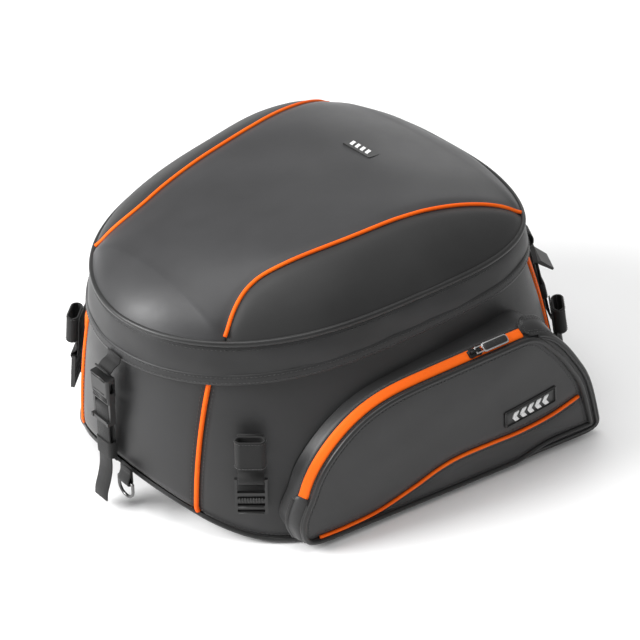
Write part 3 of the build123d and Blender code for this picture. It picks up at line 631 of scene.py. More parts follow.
def build_skirt():
    """The skirt is one sheet; its hem is turned up and stitched twice to make the rain flap."""
    rows = 22
    grid = []
    out = outward(HEM_OUT)
    for i in range(rows):
        t = i / (rows - 1)
        line = HEM_OUT + (RING_OUT - HEM_OUT) * t
        belly = 0.0012 * math.sin(math.pi * t)
        pinch = -0.0012 * math.exp(-((1 - t) / 0.08) ** 2)
        ripple = np.array([0.0005 * math.sin(9 * a + 4 * t) + 0.0004 * math.sin(23 * a) for a in ANGLES])
        grid.append(line + out * (belly + pinch + ripple[:, None] * math.sin(math.pi * t)))
    skirt = grid_object("lid_skirt_fabric", grid, closed=True)
    thicken(skirt, 0.0026)
    dress(skirt, "lid", SKIRT_FABRIC, ["lid_skirt"])
    # hem band
    lower = []
    slope = (RING_OUT - HEM_OUT)
    slope /= np.linalg.norm(slope, axis=1)[:, None]
    section = [(-0.0010, 0.0002), (-0.0004, 0.0013), (0.0015, 0.0019), (0.005, 0.0018), (0.0088, 0.0018),
               (0.0098, 0.0014), (0.0102, 0.0002)]
    for along, proud in section:
        lower.append(HEM_OUT + slope * along + out * proud)
    for along, proud in ((0.0102, -0.0004), (-0.0010, -0.0016)):
        lower.append(HEM_OUT + slope * along + out * proud)
    grid = np.array(lower)
    grid = np.vstack([grid, grid[:1]])
    band = grid_object("hem_band_fabric", grid, closed=True)
    dress(band, "lid", SKIRT_FABRIC, ["hem_band"])
    rows = []
    for height in (0.0022, 0.0078):
        line = resample(HEM_OUT + slope * height + out * 0.0019, 300, True)
        rows.append(stitches("row", line, outward(line), closed=True))
    dress(join("hem_stitches", rows), "lid", THREAD)


build_lid_panels()
build_lid_pipings()
build_ring()
build_skirt()


# ---------------------------------------------------------------- mirrored pairs
def flipped(obj, name):
    """The mirror image of a piece about the bag's middle plane."""
    mesh = obj.data.copy()
    mesh.name = name
    mesh.transform(Matrix.Diagonal((1, -1, 1, 1)))
    mesh.flip_normals()
    copy = bpy.data.objects.new(name, mesh)
    bpy.context.scene.collection.objects.link(copy)
    return copy


def both(name, obj, body, material, replaces=()):
    """Dresses a left piece and its mirror image; {} in names stands for the side."""
    twin = flipped(obj, f"{name}_right")
    obj.name = f"{name}_left"
    for piece, side in ((obj, "left"), (twin, "right")):
        dress(piece, body.format(side), material, [r.format(side) for r in replaces])
    return obj, twin


# ---------------------------------------------------------------- walls
WALL_ROWS = 30
TALL = 420


def wall_height(t):
    return lambda x: (base_z(x) + 0.0045) * (1 - t) + (hem_z(x) + 0.0042) * t


def wall_loop(t):
    loop = [polar(WALLS, 2 * math.pi * k / TALL, wall_height(t)) for k in range(TALL)]
    loop = smooth_loop(loop, 4)
    loop[:, 2] = [wall_height(t)(x) for x in loop[:, 0]]
    return loop


WALL_LOOPS = [wall_loop(t) for t in np.linspace(0, 1, WALL_ROWS)]


def crossing(loop, y, front):
    """Index, with a fraction, where a loop crosses a level y on the rear or the front half."""
    for k in range(len(loop)):
        a, b = loop[k], loop[(k + 1) % len(loop)]
        if (a[0] > 0) == front and (a[1] - y) * (b[1] - y) <= 0 and a[1] != b[1]:
            return k + (y - a[1]) / (b[1] - a[1])
    raise ValueError("the wall doesn't reach its seam")


def arc(loop, start, end, count):
    """Points along a loop from one index to another, going round the way of rising angle."""
    if end < start:
        end += len(loop)
    out = []
    for f in np.linspace(start, end, count):
        i = int(math.floor(f))
        a, b = loop[i % len(loop)], loop[(i + 1) % len(loop)]
        out.append(a + (b - a) * (f - i))
    return resample(out, count)


def wall_panel(name, corners, columns, wrinkle):
    """One wall panel between two seams: it swells a little and is drawn in at its seams."""
    grid = []
    for loop in WALL_LOOPS:
        a, b = (crossing(loop, y, front) for y, front in corners)
        grid.append(arc(loop, a, b, columns))
    grid = np.array(grid)
    du = np.gradient(grid, axis=1)
    dv = np.gradient(grid, axis=0)
    normal = np.cross(du, dv)
    normal /= np.linalg.norm(normal, axis=2)[:, :, None]
    gaps = np.linalg.norm(np.diff(grid, axis=1), axis=2)
    run = np.concatenate([np.zeros((WALL_ROWS, 1)), np.cumsum(gaps, 1)], 1)
    for i in range(WALL_ROWS):
        t = i / (WALL_ROWS - 1)
        for j in range(columns):
            edge = min(run[i, j], run[i, -1] - run[i, j])
            low = t * 0.19
            dip = 0.0018 * math.exp(-(edge / 0.006) ** 2) + 0.0012 * math.exp(-(low / 0.007) ** 2)
            x, y, z = grid[i, j]
            folds = math.sin(z * 52 + 3 * math.sin(x * 9 + y * 7)) * math.sin(x * 17 + y * 13 + 1.1)
            slack = wrinkle * folds * min(1, edge / 0.03) * min(1, low / 0.03)
            grid[i, j] += normal[i, j] * (slack - dip + 0.0006)
    panel = grid_object(name, grid)
    return panel


def lined(obj, thickness):
    """Gives a panel its thickness, with the lining's material inside."""
    obj.data.materials.append(LINING)
    m = obj.modifiers.new("wall", "SOLIDIFY")
    m.thickness = thickness
    m.offset = -1
    m.use_even_offset = False
    m.material_offset = 1
    apply_modifiers(obj)


def build_walls():
    rear = wall_panel("wall_rear", ((REAR_SEAM_Y, False), (-REAR_SEAM_Y, False)), 90, 0.0007)
    dress(rear, "bag", WALL_FABRIC, ["rear_wall"])
    front = wall_panel("wall_front", ((-FRONT_SEAM_Y, True), (FRONT_SEAM_Y, True)), 110, 0.0007)
    dress(front, "bag", WALL_FABRIC, ["front_wall"])
    left = wall_panel("wall_left", ((FRONT_SEAM_Y, True), (REAR_SEAM_Y, False)), 150, 0.0006)
    dress(left, "bag", WALL_FABRIC, ["side_wall_left"])
    right = wall_panel("wall_right", ((-REAR_SEAM_Y, False), (-FRONT_SEAM_Y, True)), 150, 0.0006)
    dress(right, "bag", WALL_FABRIC, ["side_wall_right"])
    for panel in (rear, front, left, right):
        lined(panel, 0.0028)
    # base seam
    loop = WALL_LOOPS[0]
    path = loop + outward(loop) * 0.0010
    path[:, 2] -= 0.0008
    seam = sweep("base_seam_piping", resample(path, 320, True), round_profile(0.0026, 12), closed=True)
    dress(seam, "bag", PIPING_BLACK, ["base_piping"])
    row = resample(loop + outward(loop) * 0.0012 + [0, 0, 0.0052], 320, True)
    dress(stitches("base_seam_stitches", row, outward(row), closed=True), "bag", THREAD)
    # vertical orange pipings
    for name, y, front in (("rear", REAR_SEAM_Y, False), ("front", FRONT_SEAM_Y, True)):
        tubes, rows = [], []
        for sign in (1, -1):
            line = []
            for loop in WALL_LOOPS[:-1]:
                k = crossing(loop, sign * y, front)
                line.append(arc(loop, k, k + 0.01, 2)[0])
            line = resample(catmull(line, 3), 120)
            out = np.stack([np.full(len(line), -1.0 if not front else 1.0), np.full(len(line), sign * 0.62),
                            np.zeros(len(line))], 1)
            out /= np.linalg.norm(out, axis=1)[:, None]
            tubes.append(sweep("tube", line + out * 0.0006, round_profile(0.0024, 12), up=out))
            side = np.cross(out, [0, 0, 1.0])
            for shift in (-0.0058, 0.0058):
                rows.append(stitches("row", (line + side * shift + out * 0.0006)[4:-6], out))
        dress(join(f"{name}_orange_pipings", tubes), "bag", PIPING_ORANGE,
              [f"{name}_pipings"])
        dress(join(f"{name}_seam_stitches", rows), "bag", THREAD)


build_walls()

# ---------------------------------------------------------------- side pockets, left one measured
FACE_TREE = surface("pocket_face_left")
SPOKES = 320


def plane_of_face():
    """The pocket face's y as a function of x, measured on the frame."""
    y = [FACE_TREE.ray_cast(Vector((x, 0.5, 0.07)), Vector((0, -1, 0)))[0].y for x in (-0.06, 0.06)]
    slope = (y[1] - y[0]) / 0.12
    return lambda x: y[0] + slope * (x + 0.06), slope


FACE_Y, FACE_SLOPE = plane_of_face()
FACE_OUT = np.array([-FACE_SLOPE, 1.0, 0.0]) / math.hypot(FACE_SLOPE, 1)
HEART = np.array([0.015, FACE_Y(0.015) - 0.0013, 0.072])


def face_spoke(angle):
    return np.array([math.cos(angle), FACE_SLOPE * math.cos(angle), math.sin(angle)])


def step(t):
    t = min(1.0, max(0.0, t))
    return t * t * (3 - 2 * t)


def face_outline():
    points = []
    for k in range(SPOKES):
        d = Vector(face_spoke(2 * math.pi * k / SPOKES)).normalized()
        points.append(FACE_TREE.ray_cast(Vector(HEART) + d * 0.4, -d)[0])
    loop = smooth_loop(points, 3)
    soft = smooth_loop(loop, 260)
    for k, p in enumerate(loop):
        share = step((0.045 - p[0]) / 0.06) * step((p[2] - 0.03) / 0.04)
        loop[k] = p + (soft[k] - p) * share
    loop[:, 1] = [FACE_Y(x) for x in loop[:, 0]]
    return loop


OUTLINE = face_outline()


def outline_out(loop):
    """Outward directions of the pocket's outline, in the XZ plane."""
    t = np.roll(loop, -1, 0) - np.roll(loop, 1, 0)
    n = np.stack([t[:, 2], np.zeros(len(loop)), -t[:, 0]], 1)
    n /= np.linalg.norm(n, axis=1)[:, None]
    return n * np.sign((n * (loop - loop.mean(0))).sum(1).mean())


OUTLINE_N = outline_out(OUTLINE)


def facet_weight(p):
    """1 where the pocket's side slants up from the piping to carry the zipper, 0 at the front and below."""
    front = 1 - step((p[0] - 0.118) / 0.040)
    below = 1 - step((p[0] + 0.105) / 0.03) * step((0.10 - p[2]) / 0.03)
    return front * below * (0.25 + 0.75 * step((p[2] - 0.012) / 0.035))


FACET = np.array([facet_weight(p) for p in OUTLINE])
FACET_SLOPE, FACET_FROM, FACET_TO = 0.62, 0.0012, 0.0150


def facet_rise(depth):
    """How far the slanted side stands outside the outline, at a depth in from the face."""
    return FACET_SLOPE * (min(max(depth, FACET_FROM), FACET_TO) - FACET_FROM)


def front_border(p):
    """How far the face's piping runs inside the outline: a sewn border along the front edge."""
    if p[0] < 0.100:
        return 0.0
    rise = min(1.0, (p[0] - 0.100) / 0.045)
    return 0.0105 * rise * rise * (3 - 2 * rise)


EDGE = np.array([p - n * front_border(p) for p, n in zip(OUTLINE, OUTLINE_N)])
EDGE = smooth_loop(EDGE, 4)
EDGE[:, 1] = [FACE_Y(x) for x in EDGE[:, 0]]
EDGE_N = outline_out(EDGE)
EDGE_ANGLE = np.unwrap(np.arctan2(EDGE[:, 2] - HEART[2], EDGE[:, 0] - HEART[0]))
EDGE_REACH = np.hypot(EDGE[:, 2] - HEART[2], EDGE[:, 0] - HEART[0])

ACCENT_XZ = [(-0.128, 0.011), (-0.098, 0.011), (-0.062, 0.015), (-0.025, 0.029), (0.008, 0.042),
             (0.040, 0.047), (0.100, 0.047), (0.140, 0.050), (0.176, 0.058)]


def edge_share(x, z):
    """0 at the pocket face's heart, 1 on its edge."""
    angle = math.atan2(z - HEART[2], x - HEART[0])
    start = EDGE_ANGLE[0]
    angle = start + (angle - start) % (2 * math.pi)
    reach = np.interp(angle, np.append(EDGE_ANGLE, start + 2 * math.pi), np.append(EDGE_REACH, EDGE_REACH[0]))
    return min(1.0, math.hypot(z - HEART[2], x - HEART[0]) / reach)


def within_edge(p, margin):
    return edge_share(p[0], p[2]) < 1 - margin


ACCENT_LINE = catmull([(x, FACE_Y(x), z) for x, z in ACCENT_XZ], 14)
ACCENT_LINE = np.array([p for p in ACCENT_LINE if within_edge(p, 0.0)])


def bulge(x, z):
    """The padded face's swell: full in the middle, drawn in at its edge and along the accent seam."""
    r = edge_share(x, z)
    swell = 0.0062 * (1 - r ** 2.6) - 0.0008
    near = math.sqrt(((ACCENT_LINE[:, [0, 2]] - [x, z]) ** 2).sum(1).min())
    swell -= 0.0026 * math.exp(-(near / 0.008) ** 2)
    ripple = 0.0005 * math.sin(x * 44 + 2.2 * math.sin(z * 31)) * math.sin(z * 57 + 0.8) * (1 - r ** 4)
    return swell + ripple


def on_face(x, z, proud=0.0):
    """A point of the padded face, or above it."""
    return np.array([x, FACE_Y(x), z]) + FACE_OUT * (bulge(x, z) + proud)


def face_normal(x, z):
    e = 0.002
    du = on_face(x + e, z) - on_face(x - e, z)
    dv = on_face(x, z + e) - on_face(x, z - e)
    n = np.cross(dv, du)
    return n / np.linalg.norm(n) * np.sign(n[1])


def build_pocket_face():
    rings = 46
    verts, uvs, faces = [on_face(HEART[0], HEART[2])], [(HEART[0], HEART[2])], []
    for i in range(1, rings + 1):
        r = (i / rings) ** 0.85
        for p in EDGE:
            x, z = HEART[0] + (p[0] - HEART[0]) * r, HEART[2] + (p[2] - HEART[2]) * r
            verts.append(on_face(x, z))
            uvs.append((x, z))
    # sewn border between the face's edge and the outline
    for share in (0.5, 1.0):
        for p, q in zip(EDGE, OUTLINE):
            m = p + (q - p) * share
            verts.append(m + FACE_OUT * (-0.0012 - 0.0006 * share))
            uvs.append((m[0], m[2]))
    rows = rings + 2
    for k in range(SPOKES):
        m = (k + 1) % SPOKES
        faces.append((0, 1 + k, 1 + m))
        for i in range(rows - 1):
            a, b = 1 + i * SPOKES, 1 + (i + 1) * SPOKES
            faces.append((a + k, b + k, b + m, a + m))
    face = new_object("pocket_face", verts, faces, uvs)
    mesh = face.data
    if mesh.polygons[0].normal.y < 0:
        mesh.flip_normals()
    thicken(face, 0.0022)
    both("pocket_panel", face, "bag", POCKET_FABRIC, ["pocket_face_{}"])


def build_gusset():
    grid = []
    depths = []
    for p in OUTLINE:
        hit = WALLS.ray_cast(Vector((p[0], p[1] - 0.002, max(p[2], 0.009))), Vector((0, -1, 0)))[0]
        depths.append(p[1] - hit.y + 0.002 if hit is not None else 0.12)
    depths = np.array(depths)
    for _ in range(6):
        depths = depths * 0.5 + (np.roll(depths, 1) + np.roll(depths, -1)) * 0.25
    flat = np.where(OUTLINE_N[:, 2] < -0.7, 0.0, 1.0)
    for level in (0.0, 0.0012, 0.0035, 0.0065, 0.0095, 0.0125, 0.0145, 0.0160, 0.0185, 0.024,
                  0.2, 0.4, 0.6, 0.8, 1.0):
        if level < 0.1:
            drop = np.minimum(level, depths * 0.9)
        else:
            drop = np.maximum(0.024 + (depths - 0.024) * level, depths * (0.9 + 0.1 * level))
        rise = np.array([facet_rise(d) for d in drop]) * FACET
        rise += flat * 0.0008 * np.sin(np.pi * np.minimum(drop / np.maximum(depths, 1e-4), 1)) - 0.0005
        grid.append(OUTLINE + drop[:, None] * np.array([0, -1.0, 0]) + OUTLINE_N * rise[:, None])
    gusset = grid_object("pocket_gusset", grid, closed=True)
    centre = gusset.data.polygons[SPOKES // 4]
    if centre.normal.z < 0:
        gusset.data.flip_normals()
    thicken(gusset, 0.0022)
    both("pocket_side", gusset, "bag", POCKET_FABRIC, ["pocket_gusset_{}"])


def top_run(x_from, x_to, z_rear=None, steps=240):
    """The part of the outline over the pocket's top, rear to front, with its outward directions."""
    order = np.argsort(np.arctan2(OUTLINE[:, 2] - HEART[2], OUTLINE[:, 0] - HEART[0]))[::-1]
    loop, out, weight = OUTLINE[order], OUTLINE_N[order], FACET[order]
    start = np.argmin(loop[:, 0] + loop[:, 2] * 0.6)
    loop, out, weight = np.roll(loop, -start, 0), np.roll(out, -start, 0), np.roll(weight, -start)
    keep = []
    for k, p in enumerate(loop):
        rear_side = p[0] < 0
        if p[0] > x_to or p[2] < 0.03 and not rear_side:
            if not rear_side:
                break
        if rear_side and z_rear is not None and p[2] < z_rear:
            continue
        if not rear_side and p[0] < x_from:
            continue
        if x_from > 0 and rear_side:
            continue
        keep.append(k)
    line = resample(loop[keep], steps)
    run = np.concatenate([[0], np.cumsum(np.linalg.norm(np.diff(loop[keep], axis=0), axis=1))])
    place = np.linspace(0, run[-1], steps)
    lift = np.stack([np.interp(place, run, out[keep][:, k]) for k in range(3)], 1)
    return line, lift / np.linalg.norm(lift, axis=1)[:, None], np.interp(place, run, weight[keep])


def on_side(run, depth, proud=0.0):
    """Points of the pocket's side along a run at a depth in from the face, and their normals."""
    line, lift, weight = run
    slant = FACET_SLOPE * weight[:, None] if FACET_FROM < depth < FACET_TO else np.zeros((len(line), 1))
    normal = lift + np.array([0, 1.0, 0]) * slant
    normal /= np.linalg.norm(normal, axis=1)[:, None]
    points = line + np.array([0, -depth, 0]) + lift * (facet_rise(depth) * weight)[:, None]
    return points + normal * proud, normal


def build_pocket_trim():
    tube = EDGE + EDGE_N * 0.0006 + FACE_OUT * 0.0002
    even = resample(tube, 300, True)
    lift = np.tile(FACE_OUT, (300, 1))
    main = sweep("pocket_piping", even, round_profile(0.0026, 12), closed=True, up=lift)
    outer = OUTLINE + OUTLINE_N * 0.0008 + FACE_OUT * -0.0022
    border = np.linalg.norm(OUTLINE - EDGE, axis=1) > 0.0035
    run = [k for k in range(SPOKES) if border[k]]
    split = max(range(len(run)), key=lambda i: (run[(i + 1) % len(run)] - run[i]) % SPOKES)
    run = run[split + 1:] + run[:split + 1]
    second = sweep("second", resample(outer[run], 110), round_profile(0.0024, 12),
                   up=np.tile(FACE_OUT, (110, 1)))
    both("pocket_pipings", join("pocket_pipings", [main, second]), "bag", PIPING_BLACK,
         ["pocket_piping_{}"])
    inner = EDGE - EDGE_N * 0.0052
    row = np.array([on_face(x, z, 0.0001) for x, _, z in resample(inner, 420, True)])
    seam = [stitches("row", row, np.tile(FACE_OUT, (len(row), 1)), closed=True)]
    accent = resample(ACCENT_LINE, 150)
    line = np.array([on_face(x, z, 0.0014) for x, _, z in accent])
    normals = np.array([face_normal(x, z) for x, _, z in accent])
    both("pocket_accent_piping", sweep("accent", line, round_profile(0.0019, 12), up=normals), "bag",
         PIPING_ORANGE, ["pocket_accent_{}"])
    tangent = np.gradient(accent, axis=0)
    across = np.stack([-tangent[:, 2], np.zeros(len(accent)), tangent[:, 0]], 1)
    across /= np.linalg.norm(across, axis=1)[:, None]
    for shift in (-0.0062, 0.0062):
        pts = accent + across * shift
        seam.append(stitches("row", np.array([on_face(x, z, 0.0002) for x, _, z in pts[3:-3]]),
                             normals[3:-3]))
    both("pocket_stitches", join("stitches", seam), "bag", THREAD)


ZIP_IN = 0.0088              # middle of the zipper, in from the pocket's face
ZIP_FRONT_X, ZIP_REAR_Z = 0.108, 0.056
ZIP_PROFILE = [(-0.0050, -0.0006), (0.0, -0.0006), (0.0050, -0.0006), (0.0052, 0.0001), (0.0046, 0.0008),
               (0.0028, 0.0013), (0.0010, 0.00145), (0.0, 0.00140), (-0.0010, 0.00145), (-0.0028, 0.0013),
               (-0.0046, 0.0008), (-0.0052, 0.0001)]


def build_pocket_zip():
    """One smooth band over the hidden coil, with a row of stitches along each side."""
    points, normal = on_side(top_run(-1.0, ZIP_FRONT_X, z_rear=ZIP_REAR_Z), ZIP_IN, 0.0004)
    profile = [(a * 0.98, b) for a, b in ZIP_PROFILE]
    both("pocket_zipper", sweep("band", points, profile[::-1], up=normal), "bag", TAPE_ORANGE,
         ["pocket_zip_{}"])
    rows = []
    for shift in (-0.0062, 0.0062):
        line, out = on_side(top_run(-1.0, ZIP_FRONT_X - 0.004, z_rear=ZIP_REAR_Z), ZIP_IN + shift * 0.9,
                            0.0003)
        rows.append(stitches("row", line, out, pitch=0.0036, length=0.0026))
    both("pocket_zip_stitches", join("rows", rows), "bag", THREAD)


def tapered_strip(name, points, normal, widths, thickness):
    """A flat padded strip whose half width changes along its path."""
    tangent = np.gradient(points, axis=0)
    side = np.cross(tangent / np.linalg.norm(tangent, axis=1)[:, None], normal)
    profile = strip_profile(2.0, thickness, 0.4)
    verts, uvs, faces = [], [], []
    for i, (p, s, n) in enumerate(zip(points, side, normal)):
        for a, b in profile:
            verts.append(p + s * max(-1, min(1, a)) * widths[i] + n * b)
            uvs.append((a * widths[i], i * 0.001))
    ring, count = len(profile), len(points)
    for i in range(count - 1):
        for j in range(ring):
            m = (j + 1) % ring
            faces.append((i * ring + j, i * ring + m, (i + 1) * ring + m, (i + 1) * ring + j))
    faces.append(tuple(range(ring))[::-1])
    faces.append(tuple((count - 1) * ring + j for j in range(ring)))
    return new_object(name, verts, faces, uvs), side


def build_zip_ends():
    """Sleeve over the zipper's rear end and the stitched flap over its front end."""
    run = top_run(-1.0, 0.2, z_rear=0.012, steps=700)
    low = (run[0][:, 2] < ZIP_REAR_Z + 0.005) & (run[0][:, 0] < -0.05)
    run = tuple(part[low] for part in run)
    points, normal = on_side(run, ZIP_IN, 0.0012)
    count = len(points)
    widths = [0.0078 * math.sqrt(1 - max(0.0, (i - count + 9) / 10) ** 2) for i in range(count)]
    sleeve, side = tapered_strip("sleeve", points, normal, widths, 0.0028)
    cords = [sweep("cord", points[:-8] + side[:-8] * s, round_profile(0.0021, 10), up=normal[:-8])
             for s in (-0.0078, 0.0078)]
    flap_run = top_run(ZIP_FRONT_X - 0.005, 0.150, steps=60)
    points, normal = on_side(flap_run, 0.0125, 0.0016)
    count = len(points)
    widths = [max(0.0055, 0.0112 * (1 - max(0.0, 1 - i / 11) ** 2.2)) for i in range(count)]
    flap, side = tapered_strip("flap", points, normal, widths, 0.0026)
    both("pocket_zip_garages", join("garages", [sleeve, flap]), "bag", POCKET_FABRIC,
         ["pocket_zip_ends_{}"])
    both("pocket_zip_cords", join("zip_cords", cords), "bag", PIPING_BLACK)
    rows = []
    for inset in (0.0020, 0.0044):
        first = int(2 + inset * 700)
        edge = [points[i] + side[i] * s * (widths[i] - inset) + normal[i] * 0.0014
                for s, span in ((1, range(count - 3, first, -1)), (-1, range(first, count - 3)))
                for i in span]
        rows.append(stitches("row", np.array(edge), np.array([normal[first]] * len(edge)), pitch=0.0034,
                             length=0.0024))
    both("flap_stitches", join("flap_stitches", rows), "bag", THREAD)


class Frame:
    """A local frame: u and v lie in a surface and w stands out of it, all in metres."""

    def __init__(self, at, u, w):
        self.at = np.array(at, float)
        self.u = np.array(u, float) / np.linalg.norm(u)
        w = np.array(w, float)
        w -= self.u * np.dot(self.u, w)
        self.w = w / np.linalg.norm(w)
        self.v = np.cross(self.w, self.u)

    def point(self, u, v, w):
        return self.at + self.u * u + self.v * v + self.w * w


def rounded(width, height, corner, centre=(0, 0), steps=5):
    """Outline of a rounded rectangle."""
    out = []
    for cx, cy, start in ((1, 1, 0), (-1, 1, 90), (-1, -1, 180), (1, -1, 270)):
        for k in range(steps):
            a = math.radians(start + 90 * k / (steps - 1))
            out.append((centre[0] + cx * (width / 2 - corner) + corner * math.cos(a),
                        centre[1] + cy * (height / 2 - corner) + corner * math.sin(a)))
    return out


def plate(frame_at, outline, low, high, soft=0.0004):
    """A solid plate with softened edges; outline is a list of (u, v)."""
    outline = np.array(outline, float)
    middle = outline.mean(0)
    verts, faces, count = [], [], len(outline)
    for level, inset in ((low, soft), (low + soft, 0), (high - soft, 0), (high - soft * 0.3, soft * 0.7),
                         (high, soft * 1.8)):
        for p in outline:
            away = p - middle
            q = p - away / np.linalg.norm(away) * inset
            verts.append(frame_at.point(q[0], q[1], level))
    for r in range(4):
        for k in range(count):
            m = (k + 1) % count
            faces.append((r * count + k, r * count + m, (r + 1) * count + m, (r + 1) * count + k))
    faces.append(tuple(4 * count + k for k in range(count)))
    faces.append(tuple(range(count))[::-1])
    return new_object("plate", verts, faces, smooth=False)


SLIDER_X = 0.050


def build_slider():
    """Slider on the zipper, its pull lying towards the front: a rubber pad in a light metal rim."""
    run = top_run(SLIDER_X - 0.02, SLIDER_X + 0.02, steps=3)
    points, normal = on_side(run, ZIP_IN, 0.0014)
    at = Frame(points[1], points[2] - points[0], normal[1])
    body = [(-0.0072, -0.0032), (-0.0045, -0.0046), (0.001, -0.0040), (0.0060, -0.0046), (0.0074, -0.0036),
            (0.0074, 0.0036), (0.0060, 0.0046), (0.001, 0.0040), (-0.0045, 0.0046), (-0.0072, 0.0032)]
    parts = [plate(at, body, -0.0006, 0.0006), plate(at, body, 0.0012, 0.0028, 0.0006),
             plate(at, rounded(0.0040, 0.0022, 0.0008, (-0.0035, 0)), 0.0024, 0.0060),
             plate(at, rounded(0.0022, 0.0022, 0.0008, (0.0048, 0)), 0.0024, 0.0056),
             plate(at, rounded(0.0106, 0.0024, 0.0010, (0.0006, 0)), 0.0050, 0.0064)]
    both("zip_slider", join("zip_slider", parts), "pocket_slider_{}", SLIDER_METAL,
         ["pocket_slider_{}"])
    lie = Frame(at.point(0.0006, 0, 0.0040), at.u * 1.0 - at.w * 0.02, at.w)
    ring = [plate(lie, rounded(0.0085, 0.0013, 0.0005, (0.0040, s)), -0.0006, 0.0008, 0.0003)
            for s in (-0.0030, 0.0030)]
    ring.append(plate(lie, rounded(0.0016, 0.0072, 0.0005, (0.0002, 0)), -0.0006, 0.0008, 0.0003))
    ring.append(plate(lie, rounded(0.0300, 0.0096, 0.0030, (0.0228, 0)), -0.0007, 0.0007, 0.0003))
    both("zip_pull_rim", join("pull_rim", ring), "pocket_pull_{}", EDGE_METAL,
         ["pocket_pull_{}"])
    pad = [plate(lie, rounded(0.0272, 0.0070, 0.0022, (0.0228, 0)), -0.0004, 0.0016, 0.0005)]
    pad += [plate(lie, rounded(0.0012, 0.0052, 0.0004, (0.0150 + 0.0034 * k, 0)), 0.0010, 0.0021, 0.0003)
            for k in range(5)]
    both("zip_pull_pad", join("pull_pad", pad), "pocket_pull_{}", PULL_RUBBER)


TAG_X, TAG_Z = 0.112, 0.074
CHEVRONS, CHEVRON_FROM, CHEVRON_STEP = 5, -0.020, 0.0095


def build_tag():
    """Rubber tag on the pocket's face: a frame and plain raised chevrons."""
    along = np.array([1.0, FACE_SLOPE, 0.1])
    along /= np.linalg.norm(along)
    up = np.cross(FACE_OUT, along)
    up *= np.sign(up[2])
    at = np.array([TAG_X, FACE_Y(TAG_X), TAG_Z])
    lift = bulge(TAG_X, TAG_Z) + 0.0002

    def slab(w, h, low, high, corner, shift=(0, 0), slant=0.0, bend=True):
        outline = [(u + slant * v + shift[0], v + shift[1]) for u, v in rounded(w, h, corner)]
        verts, faces = [], []
        n = len(outline)
        soft = min(0.0004, (high - low) * 0.4)
        for level, inset in ((low, 0), (high - soft, 0), (high, soft)):
            for u, v in outline:
                uu = u - math.copysign(inset, u - shift[0])
                vv = v - math.copysign(inset, v - shift[1])
                sag = bulge(TAG_X + uu, TAG_Z + vv + 0.1 * uu) + 0.0002 if bend else lift
                verts.append(at + along * uu + up * vv + FACE_OUT * (level + sag))
        for r in range(2):
            for k in range(n):
                m = (k + 1) % n
                faces.append((r * n + k, r * n + m, (r + 1) * n + m, (r + 1) * n + k))
        faces.append(tuple(2 * n + k for k in range(n)))
        faces.append(tuple(range(n))[::-1])
        return new_object("slab", verts, faces, smooth=False)

    base = slab(0.066, 0.020, -0.0010, 0.0016, 0.0025)
    frame_bars = [slab(0.062, 0.0012, 0.0012, 0.0023, 0.0005, (0, 0.0082)),
                  slab(0.062, 0.0012, 0.0012, 0.0023, 0.0005, (0, -0.0082)),
                  slab(0.0012, 0.0164, 0.0012, 0.0023, 0.0005, (-0.0305, 0)),
                  slab(0.0012, 0.0164, 0.0012, 0.0023, 0.0005, (0.0305, 0))]
    both("pocket_tag_base", join("tag", [base] + frame_bars), "bag", BADGE_RUBBER,
         ["pocket_tag_{}"])
    marks = []
    for k in range(CHEVRONS):
        for side in (1, -1):
            place = (CHEVRON_FROM + k * CHEVRON_STEP, side * 0.0028)
            marks.append(slab(0.0055, 0.0056, 0.0012, 0.0024, 0.0006, place, slant=side * 0.6))
    both("pocket_tag_mark", join("marks", marks), "bag", BADGE_LIGHT)


build_pocket_face()
build_gusset()
build_pocket_trim()
build_pocket_zip()
build_zip_ends()
build_slider()
build_tag()


# ---------------------------------------------------------------- webbing
WEB_T = 0.0016
STRAP_W, WEB_W = 0.020, 0.025


def unit(v):
    v = np.array(v, float)
    return v / np.linalg.norm(v)


def ribbon(name, path, width, across, thickness=WEB_T, step=0.0018, smooth=10):
    """Flat webbing along a path; across is the direction of its width."""
    line = catmull(path, smooth)
    line = resample(line, max(8, int(length_of(line) / step)))
    tangent = np.gradient(line, axis=0)
    tangent /= np.linalg.norm(tangent, axis=1)[:, None]
    up = np.cross(np.tile(unit(across), (len(line), 1)), tangent)
    return sweep(name, line, strip_profile(width, thickness), up=up)


def bartack(at, along, out, width, radius=0.0004):
    """A dense zigzag of thread across a webbing."""
    a, o = unit(along), unit(out)
    rows = []
    for shift in (-0.0009, 0.0, 0.0009):
        centre = np.array(at) + np.cross(o, a) * shift
        line = [centre + a * s for s in np.linspace(-width / 2, width / 2, 12)]
        rows.append(stitches("tack", line, o, pitch=0.0017, length=0.0016, radius=radius))
    return rows


class Wall(Frame):
    """A plane on the wall: u runs along the wall, v up it and w out of it, all in metres."""

    def __init__(self, at, turn, lean):
        t, l = math.radians(turn), math.radians(lean)
        self.at = np.array(at, float)
        self.w = np.array([math.cos(t) * math.cos(l), math.sin(t) * math.cos(l), math.sin(l)])
        self.u = np.array([-math.sin(t), math.cos(t), 0])
        self.v = np.cross(self.w, self.u)


